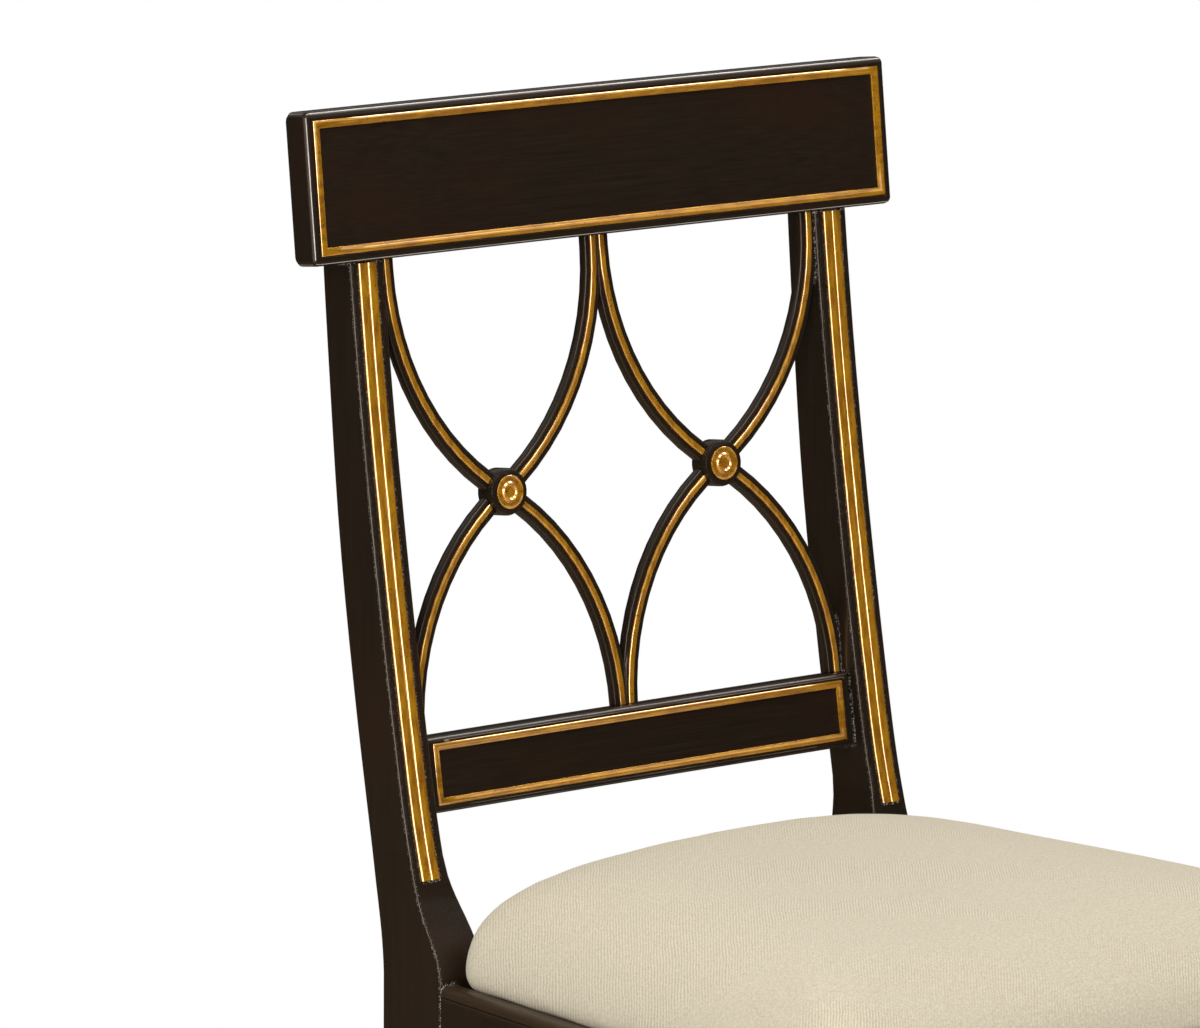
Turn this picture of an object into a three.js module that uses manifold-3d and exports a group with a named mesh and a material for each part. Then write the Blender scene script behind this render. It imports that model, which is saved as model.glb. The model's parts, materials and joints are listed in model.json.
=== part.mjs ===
// A dining chair with a lyre back: ebonised wood with gilt beads, and a drop-in seat.
// Millimetres, +Z up, the front faces -Y, and the origin is under the middle of the chair on the floor.
import * as THREE from 'three';
import { mergeVertices } from 'three/addons/utils/BufferGeometryUtils.js';
import Module from 'manifold-3d';

const wasm = await Module();
wasm.setup();

// Driving dimensions: the seat frame and the legs.
const seatRailTop = 420;
const seatRailHeight = 62;
const seatRailThickness = 26;
const seatDepth = 405;
const sideSplay = THREE.MathUtils.degToRad(5.4);
const backHalfWidth = 197;
const postWidth = 34;
const postDepth = 57;
const stileWidth = 26.3;
const rearFootWidth = 26;
const rearFootDepth = 30;
const rearLegSweep = 118;
const frontLegWidth = 36;
const frontFootWidth = 26;
const frontLegSweep = 42;

// Driving dimensions: the rear posts above the seat, where they become the stiles of the back.
const kneeRise = 60;
const kneeReach = 25.1;
const stileRise = 465;
const stileSweep = 66;
const postBackStart = 10;
const postBackSweep = 61;
const flareStart = 25;
const flareRise = 46;
const headDrop = 16;

// Driving dimensions: the crest rail, let into the front of the post heads.
const crestLength = 458;
const crestHeight = 92.5;
const crestThickness = 19.6;
const crestBow = 7.8;
const crestProud = 7.3;
const crestMiddle = 895;
const crestRake = THREE.MathUtils.degToRad(6);
const crestRound = 4;
const crestMargin = 5.6;
const crestBeadWidth = 5;

// Driving dimensions: the cross rail under the lyres.
const crossRailHeight = 46.6;
const crossRailThickness = 21;
const crossRailMiddle = 537.9;
const crossRailBow = 2.2;
const crossRailSetback = 6.8;
const crossRailRake = THREE.MathUtils.degToRad(8.8);
const crossRailRound = 4;
const crossRailMargin = 4.3;
const crossRailEndMargin = 7.2;
const crossBeadWidth = 4.6;
const fieldDepth = 1.6;

// Driving dimensions: the two crossed lyres between the rails.
const lyreSetback = 8.4;
const lyreBow = 4.7;
const lyreRake = THREE.MathUtils.degToRad(5.9);
const bossHeight = 139;
const bossRadius = 14.6;
const bossFrontStand = 4.6;
const bossBackStand = 2;
const discRadius = 10.4;
const discSeatDepth = 1.6;
const slatInset = 3.4;
const slatWidth = 12;
const slatDepth = 8.6;
const slatEdge = 1.1;
const slatBackRound = 2.6;
const beadWidth = 4.2;
const beadSeatDepth = 1;
const beadStand = 1.2;

// Driving dimensions: the gilt reeds on the stiles.
const reedWidth = 13.8;
const reedEdge = 6.6;
const reedStand = 1.9;
const reedSeatDepth = 1.4;
const reedStopRise = 59.4;

// Driving dimensions: the drop-in seat, its fixings and the joinery.
const lipWidth = 12;
const rebateDepth = 14;
const lipRound = 5.5;
const lipGroove = 1;
const boardThickness = 11;
const cushionGap = 1.5;
const cushionBackGap = 5;
const cushionCrown = 82;
const cushionBackReach = 76;
const cushionCorner = 16;
const cushionSwell = 4.5;
const sidePull = 1.2;
const backRailLip = 22;
const blockLeg = 58;
const blockTip = 9;
const blockHeight = 30;
const tenonLength = 20;
const tenonThickness = 9;
const tenonHeight = 32;
const stubLength = 9;
const stubWidth = 5;
const stubThickness = 5;
const screwRadius = 2;
const screwHeadRadius = 4;
const screwHeadHeight = 2.4;
const screwBite = 8;
const crestScrewLength = 20;
const crestScrewSpacing = 44;
const edgeEase = 1.6;
const fit = 0.3;
const cut = 5;

// How finely round forms are stepped.
const postStepHeight = 16;
const kneeSteps = 10;
const archSteps = 12;
const bowSteps = 12;
const roundSteps = 3;
const turnedSteps = 32;
const cornerSteps = 5;
const sideSteps = 6;
const screwSteps = 12;
const curveSamples = 400;

// Shares of the rise and of the sweep, from the bottom of each stretch of a post up.
const rearLegShares = [[0, 1], [0.25, 0.6], [0.5, 0.28], [0.75, 0.07], [1, 0]];
const kneeShares = [[0.17, 0.06], [0.33, 0.21], [0.5, 0.47], [0.67, 0.7], [0.83, 0.87], [1, 1]];
const stileShares = [[0.065, 0.12], [0.215, 0.323], [0.43, 0.574], [0.645, 0.786], [0.86, 0.944], [1, 1]];
const postBackShares = [[0, 0], [0.1, 0.13], [0.29, 0.418], [0.485, 0.662], [0.68, 0.818], [0.874, 0.943], [1, 1]];
const frontLegShares = [[0, 1], [0.25, 0.55], [0.5, 0.22], [0.75, 0.04], [1, 0]];

// The cushion's section: shares of the way in from its edge to its middle, and of its crown.
const cushionSectionShares = [
  [0, 0.1], [0.006, 0.22], [0.018, 0.35], [0.04, 0.47], [0.085, 0.6], [0.155, 0.72], [0.26, 0.83],
  [0.43, 0.926], [0.65, 0.983], [0.9, 1],
];

// Places worked out from the sizes above.
const seatRailBottom = seatRailTop - seatRailHeight;
const shelf = seatRailTop - rebateDepth;
const stileInner = backHalfWidth - stileWidth;
const cushionSideReach = backHalfWidth - lipWidth - cushionCorner / 2;
const cushionFrontReach = seatDepth - lipWidth - cushionBackReach - 2 * cushionCorner;
const postInner = backHalfWidth - postWidth;
const postTop = seatRailTop + kneeRise + stileRise;
const headTop = crestMiddle + crestHeight / 2 - headDrop;
const frontLegBack = -seatDepth + frontLegWidth;
const frontLegOuter = backHalfWidth - frontLegBack * Math.tan(sideSplay);
const frontLegInner = frontLegOuter - frontLegWidth;
const bossSpacing = stileInner;
const archReach = bossSpacing / 2 - slatInset;
const archRise = bossHeight + slatInset;
const archRadius = (archRise ** 2 + archReach ** 2) / (2 * archReach);
const archAngle = Math.asin(archRise / archRadius);
const rearFootBack = rearLegSweep + rearFootDepth;
const middleOfDepth = (rearFootBack - seatDepth - frontLegSweep) / 2;

// Finishes.
const ebonised = { color: 0x2b241c, roughness: 0.42, metalness: 0 };
const gilt = { color: 0xc8912d, roughness: 0.35, metalness: 0.9 };
const twill = { color: 0xdbd0b6, roughness: 0.95, metalness: 0 };
const plywood = { color: 0xc3a177, roughness: 0.8, metalness: 0 };
const beech = { color: 0xb98f62, roughness: 0.75, metalness: 0 };
const steel = { color: 0x9a9892, roughness: 0.35, metalness: 1 };

const chair = new THREE.Group();
chair.position.y = -middleOfDepth;

// Solids and meshes.

/** Turns a closed geometry into a solid that can be cut and joined. */
function solidOf(geometry) {
  const bare = geometry.clone();
  bare.deleteAttribute('normal');
  bare.deleteAttribute('uv');
  const merged = mergeVertices(bare);
  return new wasm.Manifold(new wasm.Mesh({
    numProp: 3,
    vertProperties: new Float32Array(merged.attributes.position.array),
    triVerts: new Uint32Array(merged.index.array),
  }));
}

/** Turns a solid back into a geometry. */
function geometryOf(solid) {
  const mesh = solid.getMesh();
  const geometry = new THREE.BufferGeometry();
  geometry.setAttribute('position', new THREE.BufferAttribute(new Float32Array(mesh.vertProperties), 3));
  geometry.setIndex(Array.from(mesh.triVerts));
  return geometry;
}

/** Cuts the other geometries out of the first. */
function less(geometry, ...others) {
  const solid = others.reduce((sum, other) => sum.subtract(solidOf(other)), solidOf(geometry));
  return geometryOf(solid);
}

/** Joins geometries that run into each other. */
function joined(geometry, ...others) {
  const solid = others.reduce((sum, other) => sum.add(solidOf(other)), solidOf(geometry));
  return geometryOf(solid);
}

/** Adds one named piece to the chair. */
function addPiece(name, geometry, finish) {
  const flat = geometry.index ? geometry.toNonIndexed() : geometry.clone();
  flat.deleteAttribute('uv');
  flat.computeVertexNormals();
  const mesh = new THREE.Mesh(flat, new THREE.MeshStandardMaterial(finish));
  mesh.name = name;
  chair.add(mesh);
}

/** The same geometry on the other side of the chair. */
function mirrored(geometry) {
  const indexed = geometry.index ? geometry.clone() : mergeVertices(geometry);
  indexed.deleteAttribute('normal');
  indexed.deleteAttribute('uv');
  indexed.scale(-1, 1, 1);
  const order = Array.from(indexed.index.array);
  for (let i = 0; i < order.length; i += 3) {
    [order[i], order[i + 1]] = [order[i + 1], order[i]];
  }
  indexed.setIndex(order);
  return indexed;
}

/** Adds a piece on the right and its mirror image on the left. */
function addPair(name, geometry, finish) {
  addPiece(`${name}_right`, geometry, finish);
  addPiece(`${name}_left`, mirrored(geometry), finish);
}

/** A box between two corners. */
function block(x0, x1, y0, y1, z0, z1) {
  const box = new THREE.BoxGeometry(x1 - x0, y1 - y0, z1 - z0);
  return box.translate((x0 + x1) / 2, (y0 + y1) / 2, (z0 + z1) / 2);
}

/** A copy of a geometry moved by a matrix. */
function placed(geometry, matrix) {
  return geometry.clone().applyMatrix4(matrix);
}

/** The signed volume that a mesh of triangles holds. */
function volumeOf(points, triangles) {
  let sum = 0;
  for (let i = 0; i < triangles.length; i += 3) {
    const [a, b, c] = [points[triangles[i]], points[triangles[i + 1]], points[triangles[i + 2]]];
    sum += a.dot(b.clone().cross(c));
  }
  return sum;
}

/** The triangles that close one ring of points, wound the way the ring runs. */
function capOf(ring) {
  const normal = new THREE.Vector3();
  ring.forEach((p, i) => normal.add(p.clone().cross(ring[(i + 1) % ring.length])));
  normal.normalize();
  const across = ring[1].clone().sub(ring[0]).projectOnPlane(normal).normalize();
  const up = normal.clone().cross(across);
  const flat = ring.map((p) => new THREE.Vector2(p.dot(across), p.dot(up)));
  return THREE.ShapeUtils.triangulateShape(flat, []).map(([a, b, c]) => {
    const turn = flat[b].clone().sub(flat[a]).cross(flat[c].clone().sub(flat[a]));
    return turn > 0 ? [a, b, c] : [a, c, b];
  });
}

/** The triangles that join one ring of points to its middle, where that point has the given number. */
function fanOf(ring, middle) {
  return ring.map((_, i) => [middle, i, (i + 1) % ring.length]);
}

/** The point in the middle of a ring. */
function middleOf(ring) {
  return ring.reduce((sum, p) => sum.add(p), new THREE.Vector3()).divideScalar(ring.length);
}

/** A skin stretched over rings of points, closed by flat ends, by fans or run round into a loop. */
function loft(rings, close = 'flat') {
  const count = rings[0].length;
  const points = rings.flat();
  const triangles = [];
  const stretches = close === 'loop' ? rings.length : rings.length - 1;
  for (let i = 0; i < stretches; i += 1) {
    const here = i * count;
    const next = ((i + 1) % rings.length) * count;
    for (let j = 0; j < count; j += 1) {
      const k = (j + 1) % count;
      triangles.push(here + j, here + k, next + k, here + j, next + k, next + j);
    }
  }
  const top = rings[rings.length - 1];
  const last = (rings.length - 1) * count;
  if (close === 'flat') {
    capOf(rings[0]).forEach(([a, b, c]) => triangles.push(a, c, b));
    capOf(top).forEach(([a, b, c]) => triangles.push(last + a, last + b, last + c));
  }
  if (close === 'fans') {
    points.push(middleOf(rings[0]), middleOf(top));
    const middle = rings.length * count;
    fanOf(rings[0], middle).forEach(([a, b, c]) => triangles.push(a, c, b));
    fanOf(top, middle + 1 - last).forEach(([a, b, c]) => triangles.push(last + a, last + b, last + c));
  }
  if (volumeOf(points, triangles) < 0) triangles.reverse();
  const geometry = new THREE.BufferGeometry().setFromPoints(points);
  geometry.setIndex(triangles);
  return geometry;
}

/** The corners of a rectangle with eased edges, as pairs, anticlockwise from the low corner. */
function easedRectangle(u0, u1, v0, v1, ease) {
  return [
    [u0 + ease, v0], [u1 - ease, v0], [u1, v0 + ease], [u1, v1 - ease],
    [u1 - ease, v1], [u0 + ease, v1], [u0, v1 - ease], [u0, v0 + ease],
  ];
}

/** Evenly spaced values from one number to another. */
function spread(from, to, steps) {
  return Array.from({ length: steps + 1 }, (_, i) => from + ((to - from) * i) / steps);
}

/** A function that gives the depth y of a smooth line through [height, depth] points. */
function depthLine(points) {
  const vectors = points.map(([z, y]) => new THREE.Vector3(0, y, z));
  const line = new THREE.CatmullRomCurve3(vectors, false, 'centripetal').getPoints(curveSamples);
  return (z) => {
    const above = Math.max(1, line.findIndex((p) => p.z >= z));
    const [low, high] = [line[above - 1], line[z > line[line.length - 1].z ? line.length - 1 : above]];
    const share = THREE.MathUtils.clamp((z - low.z) / (high.z - low.z || 1), 0, 1);
    return THREE.MathUtils.lerp(low.y, high.y, share);
  };
}

// The rear posts: each is a sabre leg, a straight stretch at the seat frame, a knee and a stile.

const kneeTop = seatRailTop + kneeRise;
const postFront = depthLine([
  ...rearLegShares.map(([up, out]) => [up * seatRailBottom, out * rearLegSweep]),
  [seatRailTop, 0],
  ...kneeShares.map(([up, out]) => [seatRailTop + up * kneeRise, out * kneeReach]),
  ...stileShares.map(([up, out]) => [kneeTop + up * stileRise, kneeReach + out * stileSweep]),
]);
const postBackFoot = rearLegSweep + rearFootDepth - postDepth;
const postBackBottom = seatRailTop + postBackStart;
const postBack = depthLine([
  ...rearLegShares.map(([up, out]) => [up * seatRailBottom, postDepth + out * postBackFoot]),
  ...postBackShares.map(([up, out]) => [
    postBackBottom + up * (postTop - postBackBottom),
    postDepth + out * postBackSweep,
  ]),
]);

/** The width of a rear post at a height: wide at the seat frame, slimmer in the stile and the foot. */
function postWidthAt(z) {
  const flare = THREE.MathUtils.smoothstep(z, seatRailTop + flareStart, seatRailTop + flareStart + flareRise);
  const foot = THREE.MathUtils.clamp(z / seatRailBottom, 0, 1);
  const low = THREE.MathUtils.lerp(rearFootWidth, postWidth, foot);
  return THREE.MathUtils.lerp(low, stileWidth, flare);
}

/** The outward unit normal of the stile's front face at a height, in the side view. */
function frontNormal(z) {
  const slope = (postFront(z + edgeEase) - postFront(z - edgeEase)) / (2 * edgeEase);
  return new THREE.Vector3(0, -1, slope).normalize();
}

const postHeights = [
  ...spread(0, seatRailBottom, Math.round(seatRailBottom / (2 * postStepHeight))),
  seatRailTop,
  ...spread(seatRailTop, kneeTop, kneeSteps).slice(1),
  ...spread(kneeTop, kneeTop + kneeRise, kneeSteps / 2).slice(1),
  ...spread(kneeTop + kneeRise, headTop, Math.round(stileRise / (2 * postStepHeight))).slice(1),
];
const postBlank = loft(postHeights.map((z) => easedRectangle(
  backHalfWidth - postWidthAt(z), backHalfWidth, postFront(z), postBack(z), edgeEase,
).map(([x, y]) => new THREE.Vector3(x, y, z))));

// The gilt reeds run down the stiles in a shallow bed and end in a square stop above the knee.

const reedInner = stileInner + reedEdge;
const reedBottom = seatRailTop + reedStopRise;
const crestSeatDepth = postFront(crestMiddle) - crestProud;
const crestFrame = new THREE.Matrix4().makeTranslation(0, crestSeatDepth, crestMiddle)
  .multiply(new THREE.Matrix4().makeRotationX(-crestRake));
const crestFoot = new THREE.Vector3(0, 0, -crestHeight / 2).applyMatrix4(crestFrame).z;

/** Sweeps a section, in distance across and distance out of the face, up the front of a stile. */
function upTheStile(section, from, to) {
  const steps = Math.round((to - from) / postStepHeight);
  return loft(spread(from, to, steps).map((z) => section.map(([across, out]) => (
    new THREE.Vector3(reedInner + across, postFront(z), z).addScaledVector(frontNormal(z), out)
  ))));
}

const reedHalf = reedWidth / 2;
const reedShoulderShares = [[0, 0], [0.07, 0.5], [0.25, 0.87], [0.5, 1], [0.75, 0.87], [0.93, 0.5]];
const reedSection = [
  [0, -reedSeatDepth + fit],
  ...reedShoulderShares.map(([u, v]) => [u * reedHalf, v * reedStand]),
  ...reedShoulderShares.map(([u, v]) => [reedHalf + u * reedHalf, v * reedStand]),
  [reedWidth, reedShoulderShares[0][1] * reedStand],
  [reedWidth, -reedSeatDepth + fit],
];
const reedBed = [
  [-fit, -reedSeatDepth], [-fit, cut], [reedWidth + fit, cut], [reedWidth + fit, -reedSeatDepth],
];
const reed = upTheStile(reedSection, reedBottom, crestFoot - fit - edgeEase);
const reedGroove = upTheStile(reedBed, reedBottom - fit, crestFoot + cut);

// The crest rail: a bowed tablet with a sunk field and a mitred gilt bead.

/** How far a face lies behind its ends at x, when it is bowed in plan over a length. */
function bowAt(x, bow, length) {
  return bow * (1 - ((2 * x) / length) ** 2);
}

/** Bends a geometry made on a flat face to a bow, and stands it in place. */
function bentTo(geometry, bow, length, matrix) {
  const bent = geometry.clone();
  const position = bent.attributes.position;
  for (let i = 0; i < position.count; i += 1) {
    position.setY(i, position.getY(i) + bowAt(position.getX(i), bow, length));
  }
  return bent.applyMatrix4(matrix);
}

/** Bends a geometry to the crest and stands it there. */
function onCrest(geometry) {
  return bentTo(geometry, crestBow, crestLength, crestFrame);
}

/** A section with a rounded front and eased back edges, as [depth, height] pairs. */
function roundedFront(front, back, low, high, round, ease) {
  const turn = spread(0, Math.PI / 2, roundSteps);
  return [
    [back - ease, low],
    ...turn.map((a) => [front + round * (1 - Math.sin(a)), low + round * (1 - Math.cos(a))]),
    ...turn.map((a) => [front + round * (1 - Math.cos(a)), high - round * (1 - Math.sin(a))]),
    [back - ease, high], [back, high - ease], [back, low + ease],
  ];
}

/** A tablet with a rounded front edge all round, cut at even steps so that it can be bent. */
function tablet(length, height, depth, round, corner) {
  const ends = spread(0, Math.PI / 2, roundSteps).map((a) => [
    length / 2 - round * (1 - Math.cos(a)), round * (1 - Math.sin(a)),
    corner * (1 - Math.sin(a)), Math.max(round * Math.sin(a), fit),
  ]);
  const inner = length / 2 - round;
  const stations = [
    ...ends.map(([x, ...rest]) => [-x, ...rest]),
    ...spread(-inner, inner, bowSteps).slice(1, -1).map((x) => [x, 0, 0, round]),
    ...ends.reverse(),
  ];
  return loft(stations.map(([x, front, drop, edge]) => (
    roundedFront(front, depth, drop - height / 2, height / 2 - drop, edge, edgeEase)
      .map(([y, z]) => new THREE.Vector3(x, y, z))
  )));
}

/** A plain slab of the same kind, for cuts. */
function slab(length, height, y0, y1) {
  return loft(spread(-length / 2, length / 2, bowSteps).map((x) => [
    [y0, -height / 2], [y1, -height / 2], [y1, height / 2], [y0, height / 2],
  ].map(([y, z]) => new THREE.Vector3(x, y, z))));
}

/** The section of a gilt frame bead: a half round with a small fillet inside it. */
function beadSection(width, seat) {
  const round = width * 0.78;
  const stand = seat + round / 4;
  const shares = [[0, 0.4], [0.14, 0.78], [0.5, 1], [0.86, 0.78], [1, 0.5]];
  return [[0, 0], ...shares.map(([u, v]) => [u * round, v * stand]), [width, 0.45 * stand], [width, 0]];
}

/** A mitred frame of a bead round a rectangle that lies on a face, with its back on depth y. */
function beadFrame(length, height, width, y, seat) {
  const section = beadSection(width, seat);
  const steps = spread(-1, 1, bowSteps);
  const rounds = [
    ...steps.map((u) => [u, -1]),
    ...[...steps].reverse().map((u) => [u, 1]),
  ];
  return loft(rounds.map(([u, v]) => section.map(([inward, out]) => (
    new THREE.Vector3(u * (length / 2 - inward), y - out, v * (height / 2 - inward))
  ))), 'loop');
}

const crestBeadLength = crestLength - 2 * crestMargin;
const crestBeadHeight = crestHeight - 2 * crestMargin;
const crestBlank = tablet(crestLength, crestHeight, crestThickness, crestRound, crestRound);
const crestField = slab(crestBeadLength + 2 * fit, crestBeadHeight + 2 * fit, -cut, fieldDepth);
const crestBead = beadFrame(crestBeadLength, crestBeadHeight, crestBeadWidth, fieldDepth - fit, fieldDepth - fit);

// The cross rail: the same design with a slighter bow, tenoned between the stiles.

const crossRailHalf = stileInner - fit;
const crossRailDepth = postFront(crossRailMiddle) + crossRailSetback;
const crossFrame = new THREE.Matrix4().makeTranslation(0, crossRailDepth, crossRailMiddle)
  .multiply(new THREE.Matrix4().makeRotationX(-crossRailRake));
const crossBeadLength = 2 * (stileInner - crossRailEndMargin);
const crossBeadHeight = crossRailHeight - 2 * crossRailMargin;
const crossBlank = tablet(2 * crossRailHalf, crossRailHeight, crossRailThickness, crossRailRound, 0);
const crossField = slab(crossBeadLength + 2 * fit, crossBeadHeight + 2 * fit, -cut, fieldDepth);
const crossBead = beadFrame(crossBeadLength, crossBeadHeight, crossBeadWidth, fieldDepth - fit, fieldDepth - fit);

/** Bends a geometry to the cross rail and stands it there. */
function onCross(geometry) {
  return bentTo(geometry, crossRailBow, 2 * stileInner, crossFrame);
}

/** The tenon at the right end of the cross rail, grown on all sides by a clearance. */
function crossTenon(room) {
  return placed(block(
    crossRailHalf - cut, crossRailHalf + tenonLength / 2 + room,
    (crossRailThickness - tenonThickness) / 2 - room, (crossRailThickness + tenonThickness) / 2 + room,
    -tenonHeight / 2 - room, tenonHeight / 2 + room,
  ), crossFrame);
}

// The lyres: each is four bent slats tenoned into a turned boss, the crest and the cross rail.

const crossTop = new THREE.Vector3(0, 0, crossRailHeight / 2).applyMatrix4(crossFrame);
const lyreFrame = new THREE.Matrix4().makeTranslation(0, crossTop.y + lyreSetback, crossTop.z)
  .multiply(new THREE.Matrix4().makeRotationX(-lyreRake));
const crestLine = (crestFoot - crossTop.z) / Math.cos(lyreRake);
const upward = { name: 'upper', sign: 1, end: crestLine - bossHeight };
const downward = { name: 'lower', sign: -1, end: bossHeight };

/** Bends a geometry to the bow of the lyres and stands it between the rails. */
function inLyre(geometry) {
  return bentTo(geometry, lyreBow, 2 * stileInner, lyreFrame);
}

/** Sweeps a section of [across, depth] pairs along the middle line of one slat of the right lyre. */
function alongSlat(section, level, side, overrun) {
  const angles = spread(archAngle, 0, archSteps);
  const stations = angles.map((angle) => ({
    angle,
    up: archRise - archRadius * Math.sin(angle),
    out: archReach - archRadius * (1 - Math.cos(angle)),
  }));
  stations.push({ angle: 0, up: level.end + overrun, out: archReach });
  return inLyre(loft(stations.map(({ angle, up, out }) => section.map(([across, depth]) => (
    new THREE.Vector3(
      bossSpacing / 2 + side * out + across * Math.cos(angle) * level.sign,
      depth,
      bossHeight + level.sign * up - across * Math.sin(angle) * side,
    )
  )))));
}

/** A turned solid on the right boss's axis, from [radius, depth] points. */
function turnedOnBoss(profile) {
  const turned = new THREE.LatheGeometry(profile.map(([r, y]) => new THREE.Vector2(r, y)), turnedSteps);
  return inLyre(turned.translate(bossSpacing / 2, 0, bossHeight));
}

/** The stub tenon of a slat in its boss, grown on all sides by a clearance. */
function bossStub(level, side, room) {
  const inner = bossRadius - stubLength - room;
  const outer = bossRadius + cut / 2;
  const bar = block(inner, outer, -stubThickness / 2 - room, stubThickness / 2 + room,
    -stubWidth / 2 - room, stubWidth / 2 + room);
  const turn = Math.atan2(level.sign * Math.cos(archAngle), side * Math.sin(archAngle));
  bar.rotateY(-turn);
  return inLyre(bar.translate(bossSpacing / 2, slatDepth / 2, bossHeight));
}

/** The stub tenon of a slat in the crest or the cross rail, grown on all sides by a clearance. */
function railStub(level, side, room) {
  const nearest = side < 0 ? fit / 2 : bossSpacing / 2 + archReach - slatWidth / 2;
  const farthest = side < 0 ? bossSpacing / 2 - archReach + slatWidth / 2 : stileInner - fit;
  const middle = (nearest + farthest) / 2;
  const start = bossHeight + level.sign * (level.end - cut / 2);
  const end = bossHeight + level.sign * (level.end + stubLength + room);
  return inLyre(block(
    middle - stubWidth / 2 - room, middle + stubWidth / 2 + room,
    (slatDepth - stubThickness) / 2 - room, (slatDepth + stubThickness) / 2 + room,
    Math.min(start, end), Math.max(start, end),
  ));
}

const bossProfile = [
  [0, -bossFrontStand + discSeatDepth], [discRadius + fit, -bossFrontStand + discSeatDepth],
  [discRadius + fit, -bossFrontStand], [bossRadius - 2 * edgeEase, -bossFrontStand],
  [bossRadius - edgeEase / 2, -bossFrontStand + edgeEase / 2], [bossRadius, -bossFrontStand + 2 * edgeEase],
  [bossRadius, slatDepth + bossBackStand - edgeEase],
  [bossRadius - edgeEase, slatDepth + bossBackStand], [0, slatDepth + bossBackStand],
];
const discShares = [[0, 0.42], [0.3, 0.42], [0.38, 0.6], [0.44, 0.92], [0.5, 1], [0.56, 0.9], [0.62, 0.58],
  [0.68, 0.5], [0.84, 0.5], [0.9, 0.66], [0.95, 0.72], [1, 0.6]];
const discStand = discSeatDepth + beadStand;
const discProfile = [
  ...discShares.map(([r, out]) => [r * discRadius, -bossFrontStand + discSeatDepth - fit - out * discStand]),
  [discRadius, -bossFrontStand + discSeatDepth - fit], [0, -bossFrontStand + discSeatDepth - fit],
];
const bossBlank = turnedOnBoss(bossProfile);
const bossRoom = turnedOnBoss([[0, -slatDepth], [bossRadius + fit, -slatDepth],
  [bossRadius + fit, 2 * slatDepth], [0, 2 * slatDepth]]);

const slatHalf = slatWidth / 2;
const slatSection = [
  [-slatHalf + slatEdge, 0], [slatHalf - slatEdge, 0], [slatHalf, slatEdge],
  [slatHalf, slatDepth - slatBackRound], [slatHalf - slatBackRound, slatDepth],
  [-slatHalf + slatBackRound, slatDepth], [-slatHalf, slatDepth - slatBackRound], [-slatHalf, slatEdge],
];
const beadShares = [[-1, 0.25], [-0.7, 0.78], [0, 1], [0.7, 0.78], [1, 0.25]];
const slatBeadSection = [
  [-beadWidth / 2, beadSeatDepth - fit],
  ...beadShares.map(([u, v]) => [(u * beadWidth) / 2, -v * beadStand]),
  [beadWidth / 2, beadSeatDepth - fit],
];
const slatBed = [
  [-beadWidth / 2 - fit, beadSeatDepth], [-beadWidth / 2 - fit, -cut],
  [beadWidth / 2 + fit, -cut], [beadWidth / 2 + fit, beadSeatDepth],
];

const crestClearance = placed(
  block(-crestLength, crestLength, -crestHeight, crestHeight, -crestHeight / 2 - fit, crestHeight), crestFrame,
);
const crossClearance = placed(
  block(-crestLength, crestLength, -crestHeight, crestHeight, -crestHeight, crossRailHeight / 2 + fit), crossFrame,
);
const middleClearance = block(-crestLength, fit / 2, -crestLength, crestLength, 0, postTop);
const stileClearance = block(stileInner - fit, crestLength, -crestLength, crestLength, 0, postTop);

const crestPockets = [];
const crossPockets = [];
const bossPockets = [];
for (const level of [upward, downward]) {
  for (const [sideName, side] of [['inner', -1], ['outer', 1]]) {
    const railRoom = level.sign > 0 ? crestClearance : crossClearance;
    const sideRoom = side < 0 ? middleClearance : stileClearance;
    const body = less(
      alongSlat(slatSection, level, side, cut), alongSlat(slatBed, level, side, 2 * cut),
      bossRoom, railRoom, sideRoom,
    );
    const slat = joined(body, bossStub(level, side, 0), railStub(level, side, 0));
    addPair(`slat_${level.name}_${sideName}`, slat, ebonised);
    const bead = less(alongSlat(slatBeadSection, level, side, cut), bossRoom, railRoom);
    addPair(`slat_bead_${level.name}_${sideName}`, bead, gilt);
    (level.sign > 0 ? crestPockets : crossPockets).push(railStub(level, side, fit));
    bossPockets.push(bossStub(level, side, fit));
  }
}
addPair('boss', less(bossBlank, ...bossPockets), ebonised);
addPair('boss_disc', turnedOnBoss(discProfile), gilt);

// The seat frame: rails with a rounded lip and a rebate that holds the drop-in seat.

/** The section of a side or front rail: distance in from the outer face, and height. */
function lippedSection() {
  const lip = spread(0, Math.PI / 2, 4).map((a) => [
    lipRound * (1 - Math.cos(a)), seatRailTop - lipRound + lipRound * Math.sin(a),
  ]);
  const quirk = seatRailTop - lipRound;
  return [
    [seatRailThickness, seatRailBottom], [edgeEase, seatRailBottom], [0, seatRailBottom + edgeEase],
    [0, quirk - lipGroove], [lipGroove, quirk - lipGroove], [lipGroove, quirk], ...lip,
    [lipWidth, seatRailTop], [lipWidth, shelf], [seatRailThickness, shelf],
  ];
}

/** The mortise or tenon between a rail and a post or leg, as a box with a clearance round it. */
function railTenon(x0, x1, y0, y1, room) {
  return block(x0 - room, x1 + room, y0 - room, y1 + room,
    seatRailBottom + cut - room, seatRailBottom + cut + tenonHeight + room);
}

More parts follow.
